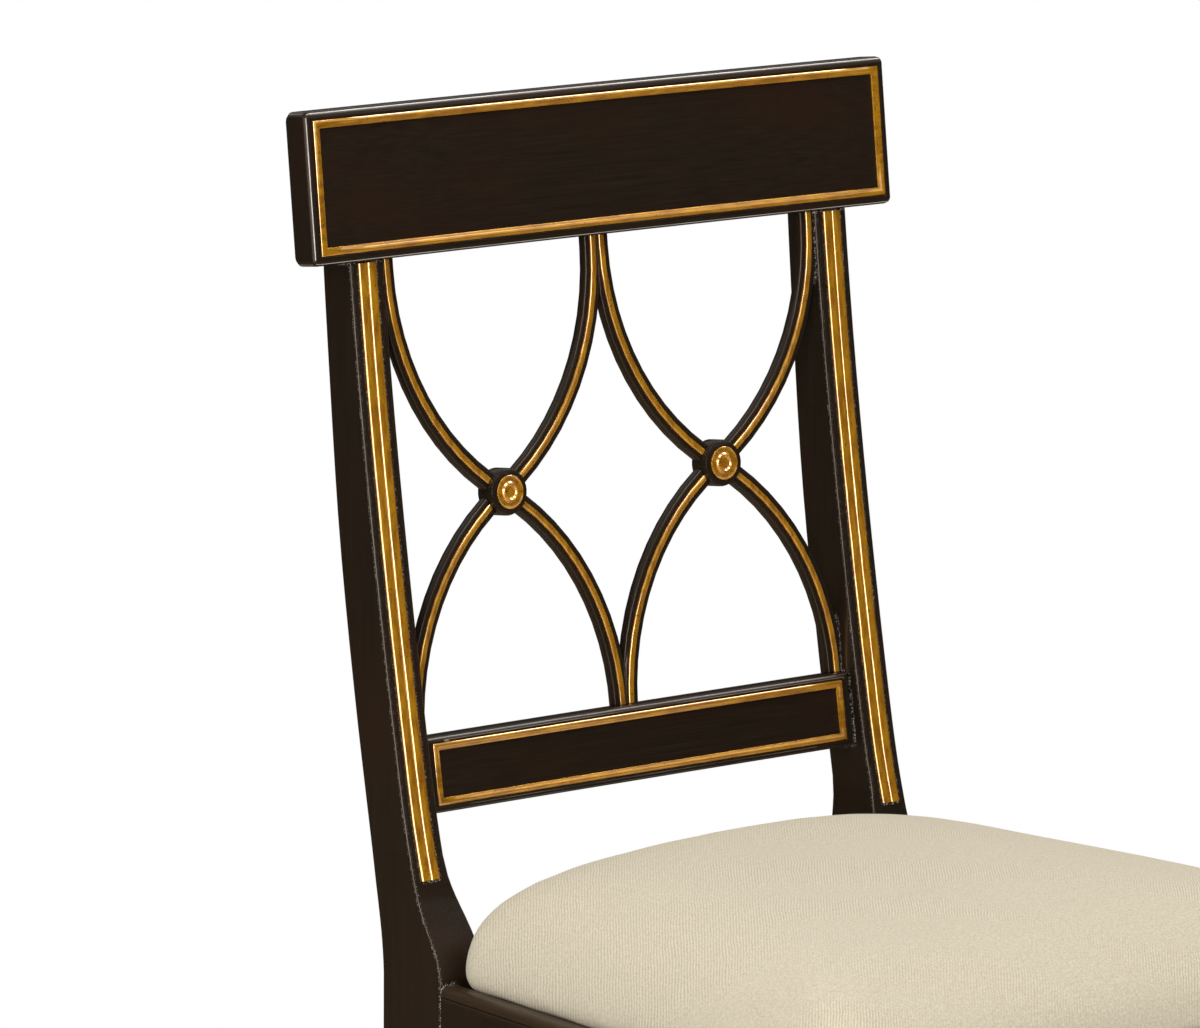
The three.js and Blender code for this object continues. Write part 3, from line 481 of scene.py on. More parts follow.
@dataclass(frozen=True)
class GoldLeaf(Finish):
    """Gold leaf burnished over red-brown bole, then glazed with umber.

    The leaf is bright on the crown of a bead, the umber glaze stays in the quirks, which are
    also darkened there as painted shade, and small specks are worn through to the dark bole.
    """

    title: ClassVar[str] = "burnished gold leaf, toned"
    slot: ClassVar[str] = "gilt"

    leaf: str = "#fbb220"
    deep: str = "#bf7a0f"
    bole: str = "#3a200d"
    # Umber glaze that stays in the quirks, also used as painted shade there.
    umber_and_shade: str = "#4a2f0c"
    cloud_length: float = 21 * MM
    cloud_width: float = 3.5 * MM
    speck_size: float = 1.1 * MM
    # The leaf is worn through in patches of about this size.
    worn_size: float = 16 * MM
    quirk: float = 0.9 * MM
    edge: float = 0.4 * MM
    # The umber glaze over the leaf scatters a part of the light before it reaches the gold.
    brightness: float = 0.52
    roughness: float = 0.15
    varnish: float = 1.0
    varnish_roughness: float = 0.07
    # Real varnish bends light by about 1.5. This is higher, for the strong highlights of the gilding.
    varnish_ior: float = 2.2
    wrinkle: float = 2.5 * MM
    # A wrinkle is this many times as long as wide, as the burnisher runs along the bead.
    wrinkle_stretch: float = 12.0
    wrinkle_depth: float = 0.05 * MM

    def plain_colour(self) -> Colour:
        """The leaf's colour."""
        return linear(self.leaf)

    def shade(self, tree: bpy.types.NodeTree, grain: Grain) -> bpy.types.Node:
        """Builds leaf, umber glaze and painted shade in the quirks, worn specks and the leaf's fine
        wrinkles.

        Args:
            tree: the material's empty node tree.
            grain: the direction of the bead, along which the leaf is burnished.

        Returns:
            The Principled node.
        """
        clouds = self.streaks(tree, grain, self.cloud_length, self.cloud_width)
        tone = add_node(tree, "MapRange", {"From Min": 0.38, "From Max": 0.64, "To Max": 0.85},
                        {"Value": clouds.outputs[0]})
        gold = add_node(tree, "Mix", {"data_type": "RGBA", FIRST: linear(self.leaf),
                                      SECOND: linear(self.deep)},
                        {FACTOR: tone.outputs["Result"]})
        # Darker in the quirks and between a reed's rolls: partly the umber glaze there, partly
        # painted shade.
        hollow = add_node(tree, "AmbientOcclusion", {"samples": 16, "Distance": self.quirk})
        glaze_and_shade = add_node(tree, "MapRange", {"From Min": 0.72, "From Max": 0.4, "To Max": 0.7},
                        {"Value": hollow.outputs["AO"]})
        glazed_and_shaded = add_node(tree, "Mix", {"data_type": "RGBA", SECOND: linear(self.umber_and_shade)},
                         {FACTOR: glaze_and_shade.outputs["Result"], FIRST: gold.outputs[MIXED]})
        specks = self.blotches(tree, self.speck_size, 3.0)
        regions = self.blotches(tree, self.worn_size, 1.0)
        limit = add_node(tree, "MapRange", {"To Min": 0.76, "To Max": 0.58},
                         {"Value": regions.outputs[0]})
        above = add_node(tree, "Math", {"operation": "SUBTRACT"},
                         {0: specks.outputs[0], 1: limit.outputs["Result"]})
        worn = add_node(tree, "MapRange", {"From Max": 0.03}, {"Value": above.outputs["Value"]})
        colour = add_node(tree, "Mix", {"data_type": "RGBA", SECOND: linear(self.bole)},
                          {FACTOR: worn.outputs["Result"], FIRST: glazed_and_shaded.outputs[MIXED]})
        metal = add_node(tree, "MapRange", {"To Min": self.brightness, "To Max": 0.1},
                         {"Value": worn.outputs["Result"]})
        dull = add_node(tree, "MapRange", {"To Min": self.roughness - 0.04,
                                           "To Max": self.roughness + 0.12},
                        {"Value": clouds.outputs[0]})
        wrinkles = self.streaks(tree, grain, self.wrinkle_stretch * self.wrinkle, self.wrinkle,
                                1.0)
        bevel = self.eased(tree, self.edge)
        bump = add_node(tree, "Bump", {"Strength": 0.13, "Distance": self.wrinkle_depth},
                        {"Height": wrinkles.outputs[0], "Normal": bevel.outputs["Normal"]})
        return add_node(tree, "BsdfPrincipled",
                        {"Coat Weight": self.varnish, "Coat Roughness": self.varnish_roughness,
                         "Coat IOR": self.varnish_ior},
                        {"Base Color": colour.outputs[MIXED], "Metallic": metal.outputs["Result"],
                         "Roughness": dull.outputs["Result"], "Normal": bump.outputs["Normal"]})


@dataclass(frozen=True)
class TurnedLeaf(GoldLeaf):
    """The same leaf on small turned discs, burnished smooth."""

    title: ClassVar[str] = "burnished gold leaf, on turned work"

    wrinkle: float = 9 * MM


@dataclass(frozen=True)
class CottonTwill(Finish):
    """Cream cotton woven in a fine steep twill, with soft slubs.

    The wales run slantwise over the seat; their light and shade is painted in as paler and
    darker stripes, stronger in bands where raking light is painted.
    """

    title: ClassVar[str] = "cream cotton twill, woven"
    slot: ClassVar[str] = "cream_twill"

    cloth: str = "#e9dfc9"
    # The darker colour: painted shade of the wales, and the darker slubs.
    wale_shade_and_slub: str = "#c8ba9d"
    # The real wale is about 1 mm; drawn at 1.7 mm so that the render shows it.
    wale: float = 1.7 * MM
    thread: float = 1.3 * MM
    slub: float = 1.3 * MM
    slant: float = math.radians(39.6)
    # Stretched cloth pulls its wales this far out of line, in waves of this size.
    drift: float = 3 * MM
    drift_size: float = 25 * MM
    band_length: float = 320 * MM
    band_width: float = 80 * MM
    depth: float = 0.2 * MM
    roughness: float = 0.92

    def plain_colour(self) -> Colour:
        """The cloth's colour."""
        return linear(self.cloth)

    def shade(self, tree: bpy.types.NodeTree, grain: Grain) -> bpy.types.Node:
        """Builds the wales, the crossing threads, slubs and the bands that show them, with the wales'
        light and shade painted into the colour.

        Args:
            tree: the material's empty node tree.
            grain: not used, as the twill's wales run slantwise.

        Returns:
            The Principled node.
        """
        place = add_node(tree, "TexCoord")
        bent = self.blotches(tree, self.drift_size)
        shift = add_node(tree, "VectorMath", {"operation": "SCALE", "Scale": self.drift},
                         {0: bent.outputs[1]})
        moved = add_node(tree, "VectorMath", {"operation": "ADD"},
                         {0: place.outputs["Object"], 1: shift.outputs["Vector"]})
        turned = add_node(tree, "Mapping", {"Rotation": (0, 0, self.slant)},
                          {"Vector": moved.outputs["Vector"]})
        wales, threads = (
            add_node(tree, "TexWave", {"bands_direction": way, "Scale": WAVE_LENGTH / width},
                     {"Vector": turned.outputs["Vector"]})
            for way, width in (("X", self.wale), ("Y", self.thread)))
        drawn = add_node(tree, "Mapping", {"Scale": (1 / self.band_length, 1 / self.band_width,
                                                     1 / self.band_width)},
                         {"Vector": turned.outputs["Vector"]})
        bands = add_node(tree, "TexNoise", {"Scale": 1.0, "Detail": 1.0},
                         {"Vector": drawn.outputs["Vector"]})
        # The bands where the wales show more strongly: painted raking light.
        strength = add_node(tree, "MapRange", {"From Min": 0.44, "From Max": 0.55},
                            {"Value": bands.outputs[0]})
        crossed = add_node(tree, "Mix", {"data_type": "FLOAT", FACTOR: 0.3},
                           {2: wales.outputs[1], 3: threads.outputs[1]})
        swing = add_node(tree, "Math", {"operation": "SUBTRACT", 1: 0.5}, {0: crossed.outputs[0]})
        shown = add_node(tree, "Math", {"operation": "MULTIPLY"},
                         {0: swing.outputs["Value"], 1: strength.outputs["Result"]})
        slubs = self.blotches(tree, self.slub, 3.0)
        flecks = add_node(tree, "MapRange", {"From Min": 0.3, "From Max": 0.7,
                                             "To Min": 0.15, "To Max": 0.85},
                          {"Value": slubs.outputs[0]})
        amount = add_node(tree, "Math", {"operation": "ADD", "use_clamp": True},
                          {0: shown.outputs["Value"], 1: flecks.outputs["Result"]})
        colour = add_node(tree, "Mix", {"data_type": "RGBA", FIRST: linear(self.cloth),
                                        SECOND: linear(self.wale_shade_and_slub)},
                          {FACTOR: amount.outputs["Value"]})
        bump = add_node(tree, "Bump", {"Strength": 0.4, "Distance": self.depth, "invert": True},
                        {"Height": amount.outputs["Value"]})
        return add_node(tree, "BsdfPrincipled",
                        {"Roughness": self.roughness, "Specular IOR Level": 0.2,
                         "Sheen Weight": 0.12, "Sheen Roughness": 0.5},
                        {"Base Color": colour.outputs[MIXED], "Normal": bump.outputs["Normal"]})


@dataclass(frozen=True)
class BirchPlywood(Finish):
    """Birch plywood, rotary cut and sanded: pale wavy faces and striped edges."""

    title: ClassVar[str] = "birch plywood, sanded"
    slot: ClassVar[str] = "plywood"

    face: str = "#cfae82"
    figure: str = "#b58f5f"
    glue: str = "#7d5a37"
    figure_length: float = 160 * MM
    figure_width: float = 12 * MM
    figure_depth: float = 0.1 * MM
    ply: float = 1.4 * MM
    roughness: float = 0.7

    def plain_colour(self) -> Colour:
        """The face veneer's colour."""
        return linear(self.face)

    def shade(self, tree: bpy.types.NodeTree, grain: Grain) -> bpy.types.Node:
        """Builds the face veneer's figure and the plies that show at the edges.

        Args:
            tree: the material's empty node tree.
            grain: the direction of the face veneer's fibres.

        Returns:
            The Principled node.
        """
        figure = self.streaks(tree, grain, self.figure_length, self.figure_width, 5.0)
        lines = add_node(tree, "MapRange", {"From Min": 0.35, "From Max": 0.7},
                         {"Value": figure.outputs[0]})
        faced = add_node(tree, "Mix", {"data_type": "RGBA", FIRST: linear(self.face),
                                       SECOND: linear(self.figure)},
                         {FACTOR: lines.outputs["Result"]})
        place = add_node(tree, "TexCoord")
        plies = add_node(tree, "TexWave", {"bands_direction": "Z",
                                           "Scale": WAVE_LENGTH / (2 * self.ply)},
                         {"Vector": place.outputs["Object"]})
        surface = add_node(tree, "NewGeometry")
        axes = add_node(tree, "SeparateXYZ", links={0: surface.outputs["Normal"]})
        level = add_node(tree, "Math", {"operation": "ABSOLUTE"}, {0: axes.outputs["Z"]})
        edge = add_node(tree, "MapRange", {"From Min": 0.6, "From Max": 0.4, "To Max": 0.75},
                        {"Value": level.outputs["Value"]})
        striped = add_node(tree, "Math", {"operation": "MULTIPLY"},
                           {0: plies.outputs[1], 1: edge.outputs["Result"]})
        colour = add_node(tree, "Mix", {"data_type": "RGBA", SECOND: linear(self.glue)},
                          {FACTOR: striped.outputs["Value"], FIRST: faced.outputs[MIXED]})
        bump = add_node(tree, "Bump", {"Strength": 0.2, "Distance": self.figure_depth},
                        {"Height": figure.outputs[0]})
        dull = add_node(tree, "MapRange", {"To Min": self.roughness - 0.1,
                                           "To Max": self.roughness + 0.1},
                        {"Value": figure.outputs[0]})
        return add_node(tree, "BsdfPrincipled", {"IOR": 1.45, "Specular IOR Level": 0.35},
                        {"Base Color": colour.outputs[MIXED], "Roughness": dull.outputs["Result"],
                         "Normal": bump.outputs["Normal"]})


@dataclass(frozen=True)
class PlanedBeech(Finish):
    """Steamed beech, planed and left raw: pinkish brown with short dark flecks."""

    title: ClassVar[str] = "steamed beech, planed"
    slot: ClassVar[str] = "beech"

    wood: str = "#c19a6c"
    late_wood: str = "#a67b50"
    fleck: str = "#7d5333"
    ring_length: float = 120 * MM
    ring_width: float = 4 * MM
    ring_depth: float = 0.1 * MM
    ray_length: float = 3 * MM
    ray_width: float = 0.6 * MM
    edge: float = 0.6 * MM
    roughness: float = 0.6

    def plain_colour(self) -> Colour:
        """The wood's colour."""
        return linear(self.wood)

    def shade(self, tree: bpy.types.NodeTree, grain: Grain) -> bpy.types.Node:
        """Builds growth rings and the rays' short flecks.

        Args:
            tree: the material's empty node tree.
            grain: the direction of the fibres.

        Returns:
            The Principled node.
        """
        rings = self.streaks(tree, grain, self.ring_length, self.ring_width, 4.0)
        ringed = add_node(tree, "Mix", {"data_type": "RGBA", FIRST: linear(self.wood),
                                        SECOND: linear(self.late_wood)},
                          {FACTOR: rings.outputs[0]})
        rays = self.streaks(tree, grain, self.ray_length, self.ray_width, 0.0)
        short = add_node(tree, "MapRange", {"From Min": 0.62, "From Max": 0.72, "To Max": 0.7},
                         {"Value": rays.outputs[0]})
        colour = add_node(tree, "Mix", {"data_type": "RGBA", SECOND: linear(self.fleck)},
                          {FACTOR: short.outputs["Result"], FIRST: ringed.outputs[MIXED]})
        dull = add_node(tree, "MapRange", {"To Min": self.roughness - 0.1,
                                           "To Max": self.roughness + 0.1},
                        {"Value": rings.outputs[0]})
        bevel = self.eased(tree, self.edge)
        bump = add_node(tree, "Bump", {"Strength": 0.2, "Distance": self.ring_depth},
                        {"Height": rings.outputs[0], "Normal": bevel.outputs["Normal"]})
        return add_node(tree, "BsdfPrincipled", {"IOR": 1.45, "Specular IOR Level": 0.35},
                        {"Base Color": colour.outputs[MIXED], "Roughness": dull.outputs["Result"],
                         "Normal": bump.outputs["Normal"]})


@dataclass(frozen=True)
class TurnedSteel(Finish):
    """Plain steel screws: turned, oiled, and a little dull with age."""

    title: ClassVar[str] = "plain steel, turned"
    slot: ClassVar[str] = "steel"

    steel: str = "#a3a09a"
    tarnish: str = "#6e675d"
    tarnish_size: float = 2.5 * MM
    # Tool marks run round the screw, so they are short along its axis.
    mark_length: float = 20 * MM
    mark_width: float = 0.3 * MM
    mark_depth: float = 0.03 * MM
    edge: float = 0.3 * MM
    roughness: float = 0.34

    def plain_colour(self) -> Colour:
        """The steel's colour."""
        return linear(self.steel)

    def shade(self, tree: bpy.types.NodeTree, grain: Grain) -> bpy.types.Node:
        """Builds clean steel with clouds of tarnish.

        Args:
            tree: the material's empty node tree.
            grain: the screw's axis, round which the tool marks run.

        Returns:
            The Principled node.
        """
        clouds = self.blotches(tree, self.tarnish_size, 3.0)
        dulled = add_node(tree, "MapRange", {"From Min": 0.4, "From Max": 0.7},
                          {"Value": clouds.outputs[0]})
        colour = add_node(tree, "Mix", {"data_type": "RGBA", FIRST: linear(self.steel),
                                        SECOND: linear(self.tarnish)},
                          {FACTOR: dulled.outputs["Result"]})
        rough = add_node(tree, "MapRange", {"To Min": self.roughness - 0.06,
                                            "To Max": self.roughness + 0.2},
                         {"Value": dulled.outputs["Result"]})
        marks = self.streaks(tree, grain, self.mark_width, self.mark_length, 1.0)
        bevel = self.eased(tree, self.edge)
        bump = add_node(tree, "Bump", {"Strength": 0.2, "Distance": self.mark_depth},
                        {"Height": marks.outputs[0], "Normal": bevel.outputs["Normal"]})
        return add_node(tree, "BsdfPrincipled", {"Metallic": 1.0},
                        {"Base Color": colour.outputs[MIXED], "Roughness": rough.outputs["Result"],
                         "Normal": bump.outputs["Normal"]})


@dataclass
class Viewpoint:
    """The camera at the photograph's viewing angle."""

    place: tuple[float, float, float] = (-3.33500, -3.79176, 1.55991)
    target: tuple[float, float, float] = (-0.07312, 0.14950, 0.69360)
    lens: float = 258.70
    sensor: float = 36.0

    def build(self) -> bpy.types.Object:
        """Makes the camera and looks through it.

        Returns:
            The camera.
        """
        data = bpy.data.cameras.new("photograph")
        data.sensor_fit = "HORIZONTAL"
        data.sensor_width = self.sensor
        data.lens = self.lens
        data.clip_end = 100.0
        camera = placed("photograph", data)
        camera.matrix_world = facing(self.place, self.target)
        bpy.context.scene.camera = camera
        return camera


@dataclass
class Softbox:
    """One soft rectangular lamp that points at the chair."""

    name: str
    place: tuple[float, float, float]
    size: tuple[float, float]
    # The share of a square-on pale surface's brightness that this lamp gives.
    share: float
    aim: tuple[float, float, float] = (0.0, 0.0, 0.6)
    # Some lamps only shine back from polish and gilding, as a bright card does.
    only_shine: bool = False

    def build(self) -> bpy.types.Object:
        """Makes the lamp.

        Returns:
            The lamp, as bright at the chair as its share says.
        """
        data = bpy.data.lights.new(self.name, "AREA")
        data.shape = "RECTANGLE"
        data.size, data.size_y = self.size
        distance = math.dist(self.place, self.aim)
        data.energy = math.pi ** 2 * distance ** 2 * self.share
        lamp = placed(self.name, data)
        lamp.visible_camera = False
        lamp.visible_diffuse = not self.only_shine
        lamp.matrix_world = facing(self.place, self.aim)
        return lamp


@dataclass
class Studio:
    """A pale floor, a white surround and soft lamps."""

    floor_radius: float = 14.0
    floor_sides: int = 96
    shadow_radius: float = 0.9
    fade_radius: float = 1.5
    floor_colour: str = "#ececea"
    ambient: float = 0.45
    # The surround is white up to a low wall, and dims over it to a grey ceiling.
    wall: float = 10.0
    ceiling: float = 34.0
    ceiling_strength: float = 0.3
    lamps: list[Softbox] = field(default_factory=lambda: [
        Softbox("overhead_softbox", (-0.5, -0.9, 3.4), (1.6, 1.2), 0.36),
        Softbox("right_softbox", (1.64, 0.0, 2.85), (0.8, 0.8), 0.16),
        Softbox("right_bright_card", (1.6, 0.0, 2.8), (1.5, 1.2), 0.3, only_shine=True),
        Softbox("left_softbox", (-2.65, -1.41, 0.95), (0.5, 1.7), 0.12),
        Softbox("left_bright_card", (-2.72, -1.27, 0.95), (1.9, 1.7), 0.36, only_shine=True),
        Softbox("left_strip", (-3.2, 0.4, 1.1), (0.24, 1.9), 0.08),
        Softbox("camera_side_fill", (-3.2, -2.8, 2.5), (1.6, 1.6), 0.16),
    ])
    # Grey cards that only reflections see, as a studio stands round polished wood. The
    # gap that they leave lets the lamps on the left in. Bearings run from the front to the left.
    cards: tuple[tuple[float, float], ...] = ((104.0, 406.0),)
    card_step: float = 4.0
    card_distance: float = 2.2
    card_height: float = 1.5
    # Each card bends in over the floor, from this height to this share of its distance.
    card_foot: float = 0.25
    apron: float = 0.25
    apron_rise: float = 5 * MM
    apron_colour: str = "#80705a"
    card_colour: str = "#2c2c2c"

    def build(self) -> None:
        """Makes the world, the floor and the lamps."""
        scene = bpy.context.scene
        scene.view_settings.view_transform = "Standard"
        self.surround(scene)
        self.floor()
        self.reflectors()
        for lamp in self.lamps:
            lamp.build()

    @staticmethod
    def seen(tree: bpy.types.NodeTree) -> bpy.types.Node:
        """Tells the rays that see the background from those that carry its light.

        Args:
            tree: the node tree.

        Returns:
            A node whose Value is 1 for camera, glossy and transmission rays.
        """
        rays = add_node(tree, "LightPath")
        either = add_node(tree, "Math", {"operation": "MAXIMUM"},
                          {0: rays.outputs["Is Camera Ray"], 1: rays.outputs["Is Glossy Ray"]})
        return add_node(tree, "Math", {"operation": "MAXIMUM"},
                        {0: either.outputs["Value"], 1: rays.outputs["Is Transmission Ray"]})

    def surround(self, scene: bpy.types.Scene) -> None:
        """Makes a world that shows white and lights softly.

        Args:
            scene: the scene that gets the world.
        """
        world = bpy.data.worlds.new("studio")
        scene.world = world
        world.use_nodes = True
        tree = world.node_tree
        tree.nodes.clear()
        light = add_node(tree, "Background", {"Color": WHITE, "Strength": self.ambient})
        place = add_node(tree, "TexCoord")
        axes = add_node(tree, "SeparateXYZ", links={0: place.outputs["Generated"]})
        dims = add_node(tree, "MapRange", {"interpolation_type": "SMOOTHSTEP",
                                           "From Min": math.sin(math.radians(self.wall)),
                                           "From Max": math.sin(math.radians(self.ceiling)),
                                           "To Min": 1.0, "To Max": self.ceiling_strength},
                        {"Value": axes.outputs["Z"]})
        white = add_node(tree, "Background", {"Color": WHITE},
                         {"Strength": dims.outputs["Result"]})
        mix = add_node(tree, "MixShader", {}, {0: self.seen(tree).outputs["Value"],
                                               1: light.outputs[0], 2: white.outputs[0]})
        add_node(tree, "OutputWorld", links={"Surface": mix.outputs[0]})

    def floor(self) -> bpy.types.Object:
        """Makes a round floor that keeps the shadow and fades to white.

        Returns:
            The floor.
        """
        mesh = bpy.data.meshes.new("floor")
        shape = bmesh.new()
        bmesh.ops.create_circle(shape, cap_ends=True, segments=self.floor_sides,
                              radius=self.floor_radius)
        shape.to_mesh(mesh)
        shape.free()
        floor = placed("floor", mesh)
        paint = bpy.data.materials.new("studio floor, matt paint")
        paint.use_nodes = True
        tree = paint.node_tree
        tree.nodes.clear()
        place = add_node(tree, "TexCoord")
        far = add_node(tree, "VectorMath", {"operation": "LENGTH"}, {0: place.outputs["Object"]})
        fade = add_node(tree, "MapRange", {"interpolation_type": "SMOOTHSTEP",
                                           "From Min": self.shadow_radius,
                                           "From Max": self.fade_radius},
                        {"Value": far.outputs["Value"]})
        amount = add_node(tree, "Math", {"operation": "MULTIPLY"},
                          {0: fade.outputs["Result"], 1: self.seen(tree).outputs["Value"]})
        matt = add_node(tree, "BsdfDiffuse", {"Color": linear(self.floor_colour)})
        white = add_node(tree, "Emission", {"Color": WHITE, "Strength": 1.0})
        mix = add_node(tree, "MixShader", {}, {0: amount.outputs["Value"], 1: matt.outputs[0],
                                               2: white.outputs[0]})
        add_node(tree, "OutputMaterial", links={"Surface": mix.outputs[0]})
        mesh.materials.append(paint)
        return floor

    def reflectors(self) -> None:
        """Makes the curved grey cards that polished wood and gold mirror."""
        paints = []
        for part, colour in (("apron", self.apron_colour), ("card", self.card_colour)):
            paint = bpy.data.materials.new(f"studio {part}, matt paint")
            paint.use_nodes = True
            tree = paint.node_tree
            tree.nodes.clear()
            matt = add_node(tree, "BsdfDiffuse", {"Color": linear(colour)})
            add_node(tree, "OutputMaterial", links={"Surface": matt.outputs[0]})
            paints.append(paint)
        for number, (first, last) in enumerate(self.cards):
            steps = round((last - first) / self.card_step)
            points = []
            for step in range(steps + 1):
                bearing = math.radians(first + (last - first) * step / steps)
                x = -math.sin(bearing) * self.card_distance
                y = -math.cos(bearing) * self.card_distance
                points += [(x * self.apron, y * self.apron, self.apron_rise),
                           (x, y, self.card_foot), (x, y, self.card_height)]
            faces = [(3 * i + j, 3 * i + j + 3, 3 * i + j + 4, 3 * i + j + 1)
                     for i in range(steps) for j in range(2)]
            mesh = bpy.data.meshes.new(f"card_{number}")
            mesh.from_pydata(points, [], faces)
            for paint in paints:
                mesh.materials.append(paint)
            for face in mesh.polygons:
                face.material_index = face.index % 2
            card = placed(mesh.name, mesh)
            card.visible_camera = card.visible_diffuse = card.visible_shadow = False
            card.visible_transmission = card.visible_volume_scatter = False


@dataclass
class Joinery:
    """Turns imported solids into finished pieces, with welded and smoothed faces."""

    nodes: dict[str, bpy.types.Object]
    flat_angle: float = math.radians(0.1)
    twist: float = math.radians(3)
    sharp_angle: float = math.radians(50)
    # An eased edge is a strip this narrow that bends this far at both sides.
    strip_width: float = 3.2 * MM
    strip_bend: float = math.radians(22)
    # It is at most this many times as wide as the faces beside it.
    strip_slack: float = 1.05

    def finish(self, node: str, suffix: str, finish: Finish, grain: Grain) -> bpy.types.Object:
        """Makes the finished piece that stands for one solid.

        Args:
            node: the solid's name.
            suffix: what was done to the piece, which ends its name.
            finish: the finish that it gets.
            grain: the direction of its fibres.

        Returns:
            The finished piece, which rides on the chair's one body.
        """
        mesh = self.nodes[node].data.copy()
        mesh.name = f"{node}_{suffix}"
        packed_normals = mesh.attributes.get("custom_normal")
        if packed_normals:
            mesh.attributes.remove(packed_normals)
        shape = bmesh.new()
        shape.from_mesh(mesh)
        bmesh.ops.remove_doubles(shape, verts=shape.verts, dist=WELD)
        bmesh.ops.dissolve_limit(shape, angle_limit=self.flat_angle, verts=shape.verts,
                                 edges=shape.edges)
        bmesh.ops.join_triangles(shape, faces=shape.faces, angle_face_threshold=self.twist,
                                 angle_shape_threshold=math.pi)
        self.mark_arrises(shape)
        shape.to_mesh(mesh)
        shape.free()
        mesh.shade_smooth()
        mesh.set_sharp_from_angle(angle=self.sharp_angle)
        mesh.materials.clear()
        mesh.materials.append(finish.material(grain))
        piece = placed(mesh.name, mesh)
        even = piece.modifiers.new("even_normals", "WEIGHTED_NORMAL")
        even.keep_sharp = True
        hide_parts(node)
        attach(piece, BODY)
        LOG.info("%s: %s", piece.name, finish.title)
        return piece

    def mark_arrises(self, shape: bmesh.types.BMesh) -> None:
        """Numbers the two sides of every eased edge, so that a finish finds its middle.

        Args:
            shape: the piece, with four-sided faces along its edges.
        """
        across = shape.loops.layers.float.new(ARRIS)
        width = {face: face.calc_area() / max(edge.calc_length() for edge in face.edges)
                 for face in shape.faces}
        for face in shape.faces:
            bends = [edge for edge in face.edges if edge.is_manifold
                     and edge.calc_face_angle_signed() > self.strip_bend]
            bends.sort(key=lambda edge: edge.calc_length(), reverse=True)
            if len(bends) < 2 or width[face] > self.strip_width:
                continue
            first, second = bends[:2]
            beside = [other for edge in (first, second) for other in edge.link_faces
                      if other is not face]
            if (set(first.verts) & set(second.verts)
                    or any(width[face] > self.strip_slack * width[other] for other in beside)):
                continue
            for loop in face.loops:
                loop[across] = 1.0 if loop.vert in second.verts else 0.0


@dataclass
class CrestRail:
    """The bowed tablet and its mitred gilt frame."""

    wood: EbonisedHardwood = HighlitTablet()
    leaf: GoldLeaf = GoldLeaf()

    def build(self, joinery: Joinery) -> None:
        """Finishes the tablet and its bead.

        Args:
            joinery: what makes finished pieces.
        """
        joinery.finish("crest_rail", "polished", self.wood, Grain.ACROSS)
        joinery.finish("crest_bead", "gilded", self.leaf, Grain.ACROSS)


@dataclass
class CrossRail:
    """The low rail under the lyres and its gilt frame."""

    wood: EbonisedHardwood = EbonisedHardwood()
    leaf: GoldLeaf = GoldLeaf()

    def build(self, joinery: Joinery) -> None:
        """Finishes the rail and its bead.

        Args:
            joinery: what makes finished pieces.
        """
        joinery.finish("cross_rail", "polished", self.wood, Grain.ACROSS)
        joinery.finish("cross_rail_bead", "gilded", self.leaf, Grain.ACROSS)


@dataclass
class RearPosts:
    """The two posts, from the foot to the crest, with their gilt double reeds."""

    wood: EbonisedHardwood = GlintingQuirks()
    leaf: GoldLeaf = GoldLeaf()

    def build(self, joinery: Joinery) -> None:
        """Finishes both posts and both reeds.

        Args:
            joinery: what makes finished pieces.
        """
        for side in SIDES:
            joinery.finish(f"rear_post_{side}", "polished", self.wood, Grain.UPRIGHT)
            joinery.finish(f"stile_reed_{side}", "gilded", self.leaf, Grain.UPRIGHT)


@dataclass
class LyrePair:
    """Eight bent slats with their gilt beads, and the two turned bosses between them."""

    wood: EbonisedHardwood = BentArm()
    leaf: GoldLeaf = GoldLeaf()
    turned: EbonisedHardwood = EbonisedHardwood()
    disc_leaf: GoldLeaf = TurnedLeaf()
    levels: tuple[str, ...] = ("upper", "lower")
    reaches: tuple[str, ...] = ("inner", "outer")

    def build(self, joinery: Joinery) -> None:
        """Finishes every slat, bead, boss and disc.

        Args:
            joinery: what makes finished pieces.
        """
        for side in SIDES:
            for level in self.levels:
                for reach in self.reaches:
                    arm = f"{level}_{reach}_{side}"
                    joinery.finish(f"slat_{arm}", "polished", self.wood, Grain.UPRIGHT)
                    joinery.finish(f"slat_bead_{arm}", "gilded", self.leaf, Grain.UPRIGHT)
            joinery.finish(f"boss_{side}", "polished", self.turned, Grain.DEPTH)
            joinery.finish(f"boss_disc_{side}", "gilded", self.disc_leaf, Grain.DEPTH)


@dataclass
class SeatFrame:
    """The four seat rails, the two front legs and the glued corner blocks."""

    lip_depth: float = 8.5 * MM
    wood: EbonisedHardwood = EbonisedHardwood()
    blocks: PlanedBeech = PlanedBeech()

    def build(self, joinery: Joinery) -> None:
        """Finishes rails, legs and blocks.

        Args:
            joinery: what makes finished pieces.
        """
        rail_top = max(point.co.z for point in joinery.nodes["seat_rail_front"].data.vertices)
        lipped = HandledRail(lip_height=rail_top - self.lip_depth)
        joinery.finish("seat_rail_front", "polished", lipped, Grain.ACROSS)
        joinery.finish("seat_rail_back", "polished", self.wood, Grain.ACROSS)
        for side in SIDES:
            joinery.finish(f"seat_rail_side_{side}", "polished", lipped, Grain.DEPTH)
            joinery.finish(f"front_leg_{side}", "polished", self.wood, Grain.UPRIGHT)
            joinery.finish(f"corner_block_front_{side}", "planed", self.blocks, Grain.ACROSS)
            joinery.finish(f"corner_block_rear_{side}", "planed", self.blocks, Grain.ACROSS)


